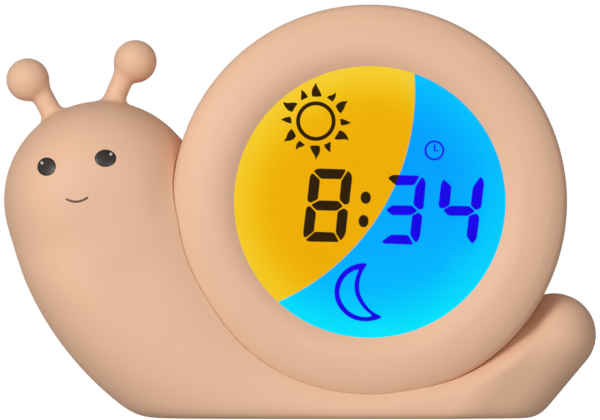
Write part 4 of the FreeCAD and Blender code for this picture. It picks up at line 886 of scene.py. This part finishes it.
glyph("clock_sign", [prism(ring_pts(433.95, 150.1, 9.95, 9.95), ring_pts(433.95, 150.1, 7.95, 7.95)[::-1]),
                     prism(soften(hand_a, 1, 0.12)), prism(soften(hand_b, 1, 0.12))], ink_look)

# ------------------------------------------------------- floor and light
def stage_sheet():
    """White floor, lit from within a little; the surroundings behind it are white too."""
    prof = [(-3.0, 0.0), (-1.0, 0.0), (-0.4, 0.0), (0.0, 0.0), (0.4, 0.0), (1.0, 0.0), (3.0, 0.0)]
    V, F = [], []
    for x in (-5.0, 5.0):
        V += [(x, y, z) for y, z in prof]
    n = len(prof)
    for i in range(n - 1):
        F.append((i, n + i, n + i + 1, i + 1))
    me = bpy.data.meshes.new("sweep")
    me.from_pydata(V, [], F)
    me.shade_smooth()
    m = Mat("sweep_look")
    p = m.bsdf(Roughness=0.9, Specular_IOR_Level=0.0)
    m.link(m.ramp(m.noise(3.0, 2.0), [(0.3, (0.34, 0.34, 0.34)), (0.7, (0.36, 0.36, 0.36))]), p.inputs["Base Color"])
    p.inputs["Emission Color"].default_value = (1, 1, 1, 1)
    far = m.n("ShaderNodeVectorMath", operation="LENGTH")
    m.link(m.co, far.inputs[0])
    m.link(m.remap(far.outputs["Value"], 0.15, 0.9, 0.96, 1.0), p.inputs["Emission Strength"])
    me.materials.append(m.m)
    ob = bpy.data.objects.new("sweep", me)
    bpy.context.scene.collection.objects.link(ob)
    ob.visible_diffuse = ob.visible_glossy = ob.visible_transmission = ob.visible_shadow = False


stage_sheet()


def lamp(name, at, to, size, level, colour=(1, 1, 1)):
    """Round soft light; level is how bright it makes a white card that faces it."""
    d = bpy.data.lights.new(name, "AREA")
    d.shape = "DISK"
    d.size = size
    away = (Vector(to) - Vector(at)).length
    d.energy = level * math.pi ** 2 * away * away
    d.color = colour
    ob = bpy.data.objects.new(name, d)
    bpy.context.scene.collection.objects.link(ob)
    ob.location = at
    ob.rotation_euler = (Vector(to) - Vector(at)).to_track_quat("-Z", "Y").to_euler()


def placed(azimuth, elevation, away=2.6):
    """A place around the object: azimuth from the front, negative to its left."""
    a, e = math.radians(azimuth), math.radians(elevation)
    return (away * math.sin(a) * math.cos(e), -away * math.cos(a) * math.cos(e), 0.06 + away * math.sin(e))


lamp("key", placed(-34, 16), (0, 0, 0.06), 1.2, 0.545)
lamp("fill", placed(19, 5), (0, 0, 0.06), 0.9, 0.25)

# surroundings: dim and even for the object, plain white behind it
world = bpy.data.worlds.new("studio")
world.use_nodes = True
wt = world.node_tree
wt.nodes.clear()
w_out = wt.nodes.new("ShaderNodeOutputWorld")
w_dim, w_bright = wt.nodes.new("ShaderNodeBackground"), wt.nodes.new("ShaderNodeBackground")
w_mix, w_path = wt.nodes.new("ShaderNodeMixShader"), wt.nodes.new("ShaderNodeLightPath")
w_co, w_sep, w_map = wt.nodes.new("ShaderNodeTexCoord"), wt.nodes.new("ShaderNodeSeparateXYZ"), wt.nodes.new("ShaderNodeMapRange")
wt.links.new(w_co.outputs["Generated"], w_sep.inputs[0])
wt.links.new(w_sep.outputs["Z"], w_map.inputs[0])
for i, v in enumerate((-1.0, 1.0, 0.37, 0.36)):
    w_map.inputs[i + 1].default_value = v
# a little brighter on the object's left than on its right
w_side, w_mul = wt.nodes.new("ShaderNodeMapRange"), wt.nodes.new("ShaderNodeMath")
wt.links.new(w_sep.outputs["X"], w_side.inputs[0])
for i, v in enumerate((-1.0, 1.0, 1.22, 0.52)):
    w_side.inputs[i + 1].default_value = v
w_mul.operation = "MULTIPLY"
wt.links.new(w_map.outputs[0], w_mul.inputs[0])
wt.links.new(w_side.outputs[0], w_mul.inputs[1])
wt.links.new(w_mul.outputs[0], w_dim.inputs["Strength"])
w_dim.inputs["Color"].default_value = (1, 0.95, 0.88, 1)
w_bright.inputs["Color"].default_value = (1, 1, 1, 1)
w_bright.inputs["Strength"].default_value = 1.0
wt.links.new(w_path.outputs["Is Camera Ray"], w_mix.inputs[0])
wt.links.new(w_dim.outputs[0], w_mix.inputs[1])
wt.links.new(w_bright.outputs[0], w_mix.inputs[2])
wt.links.new(w_mix.outputs[0], w_out.inputs["Surface"])
bpy.context.scene.world = world
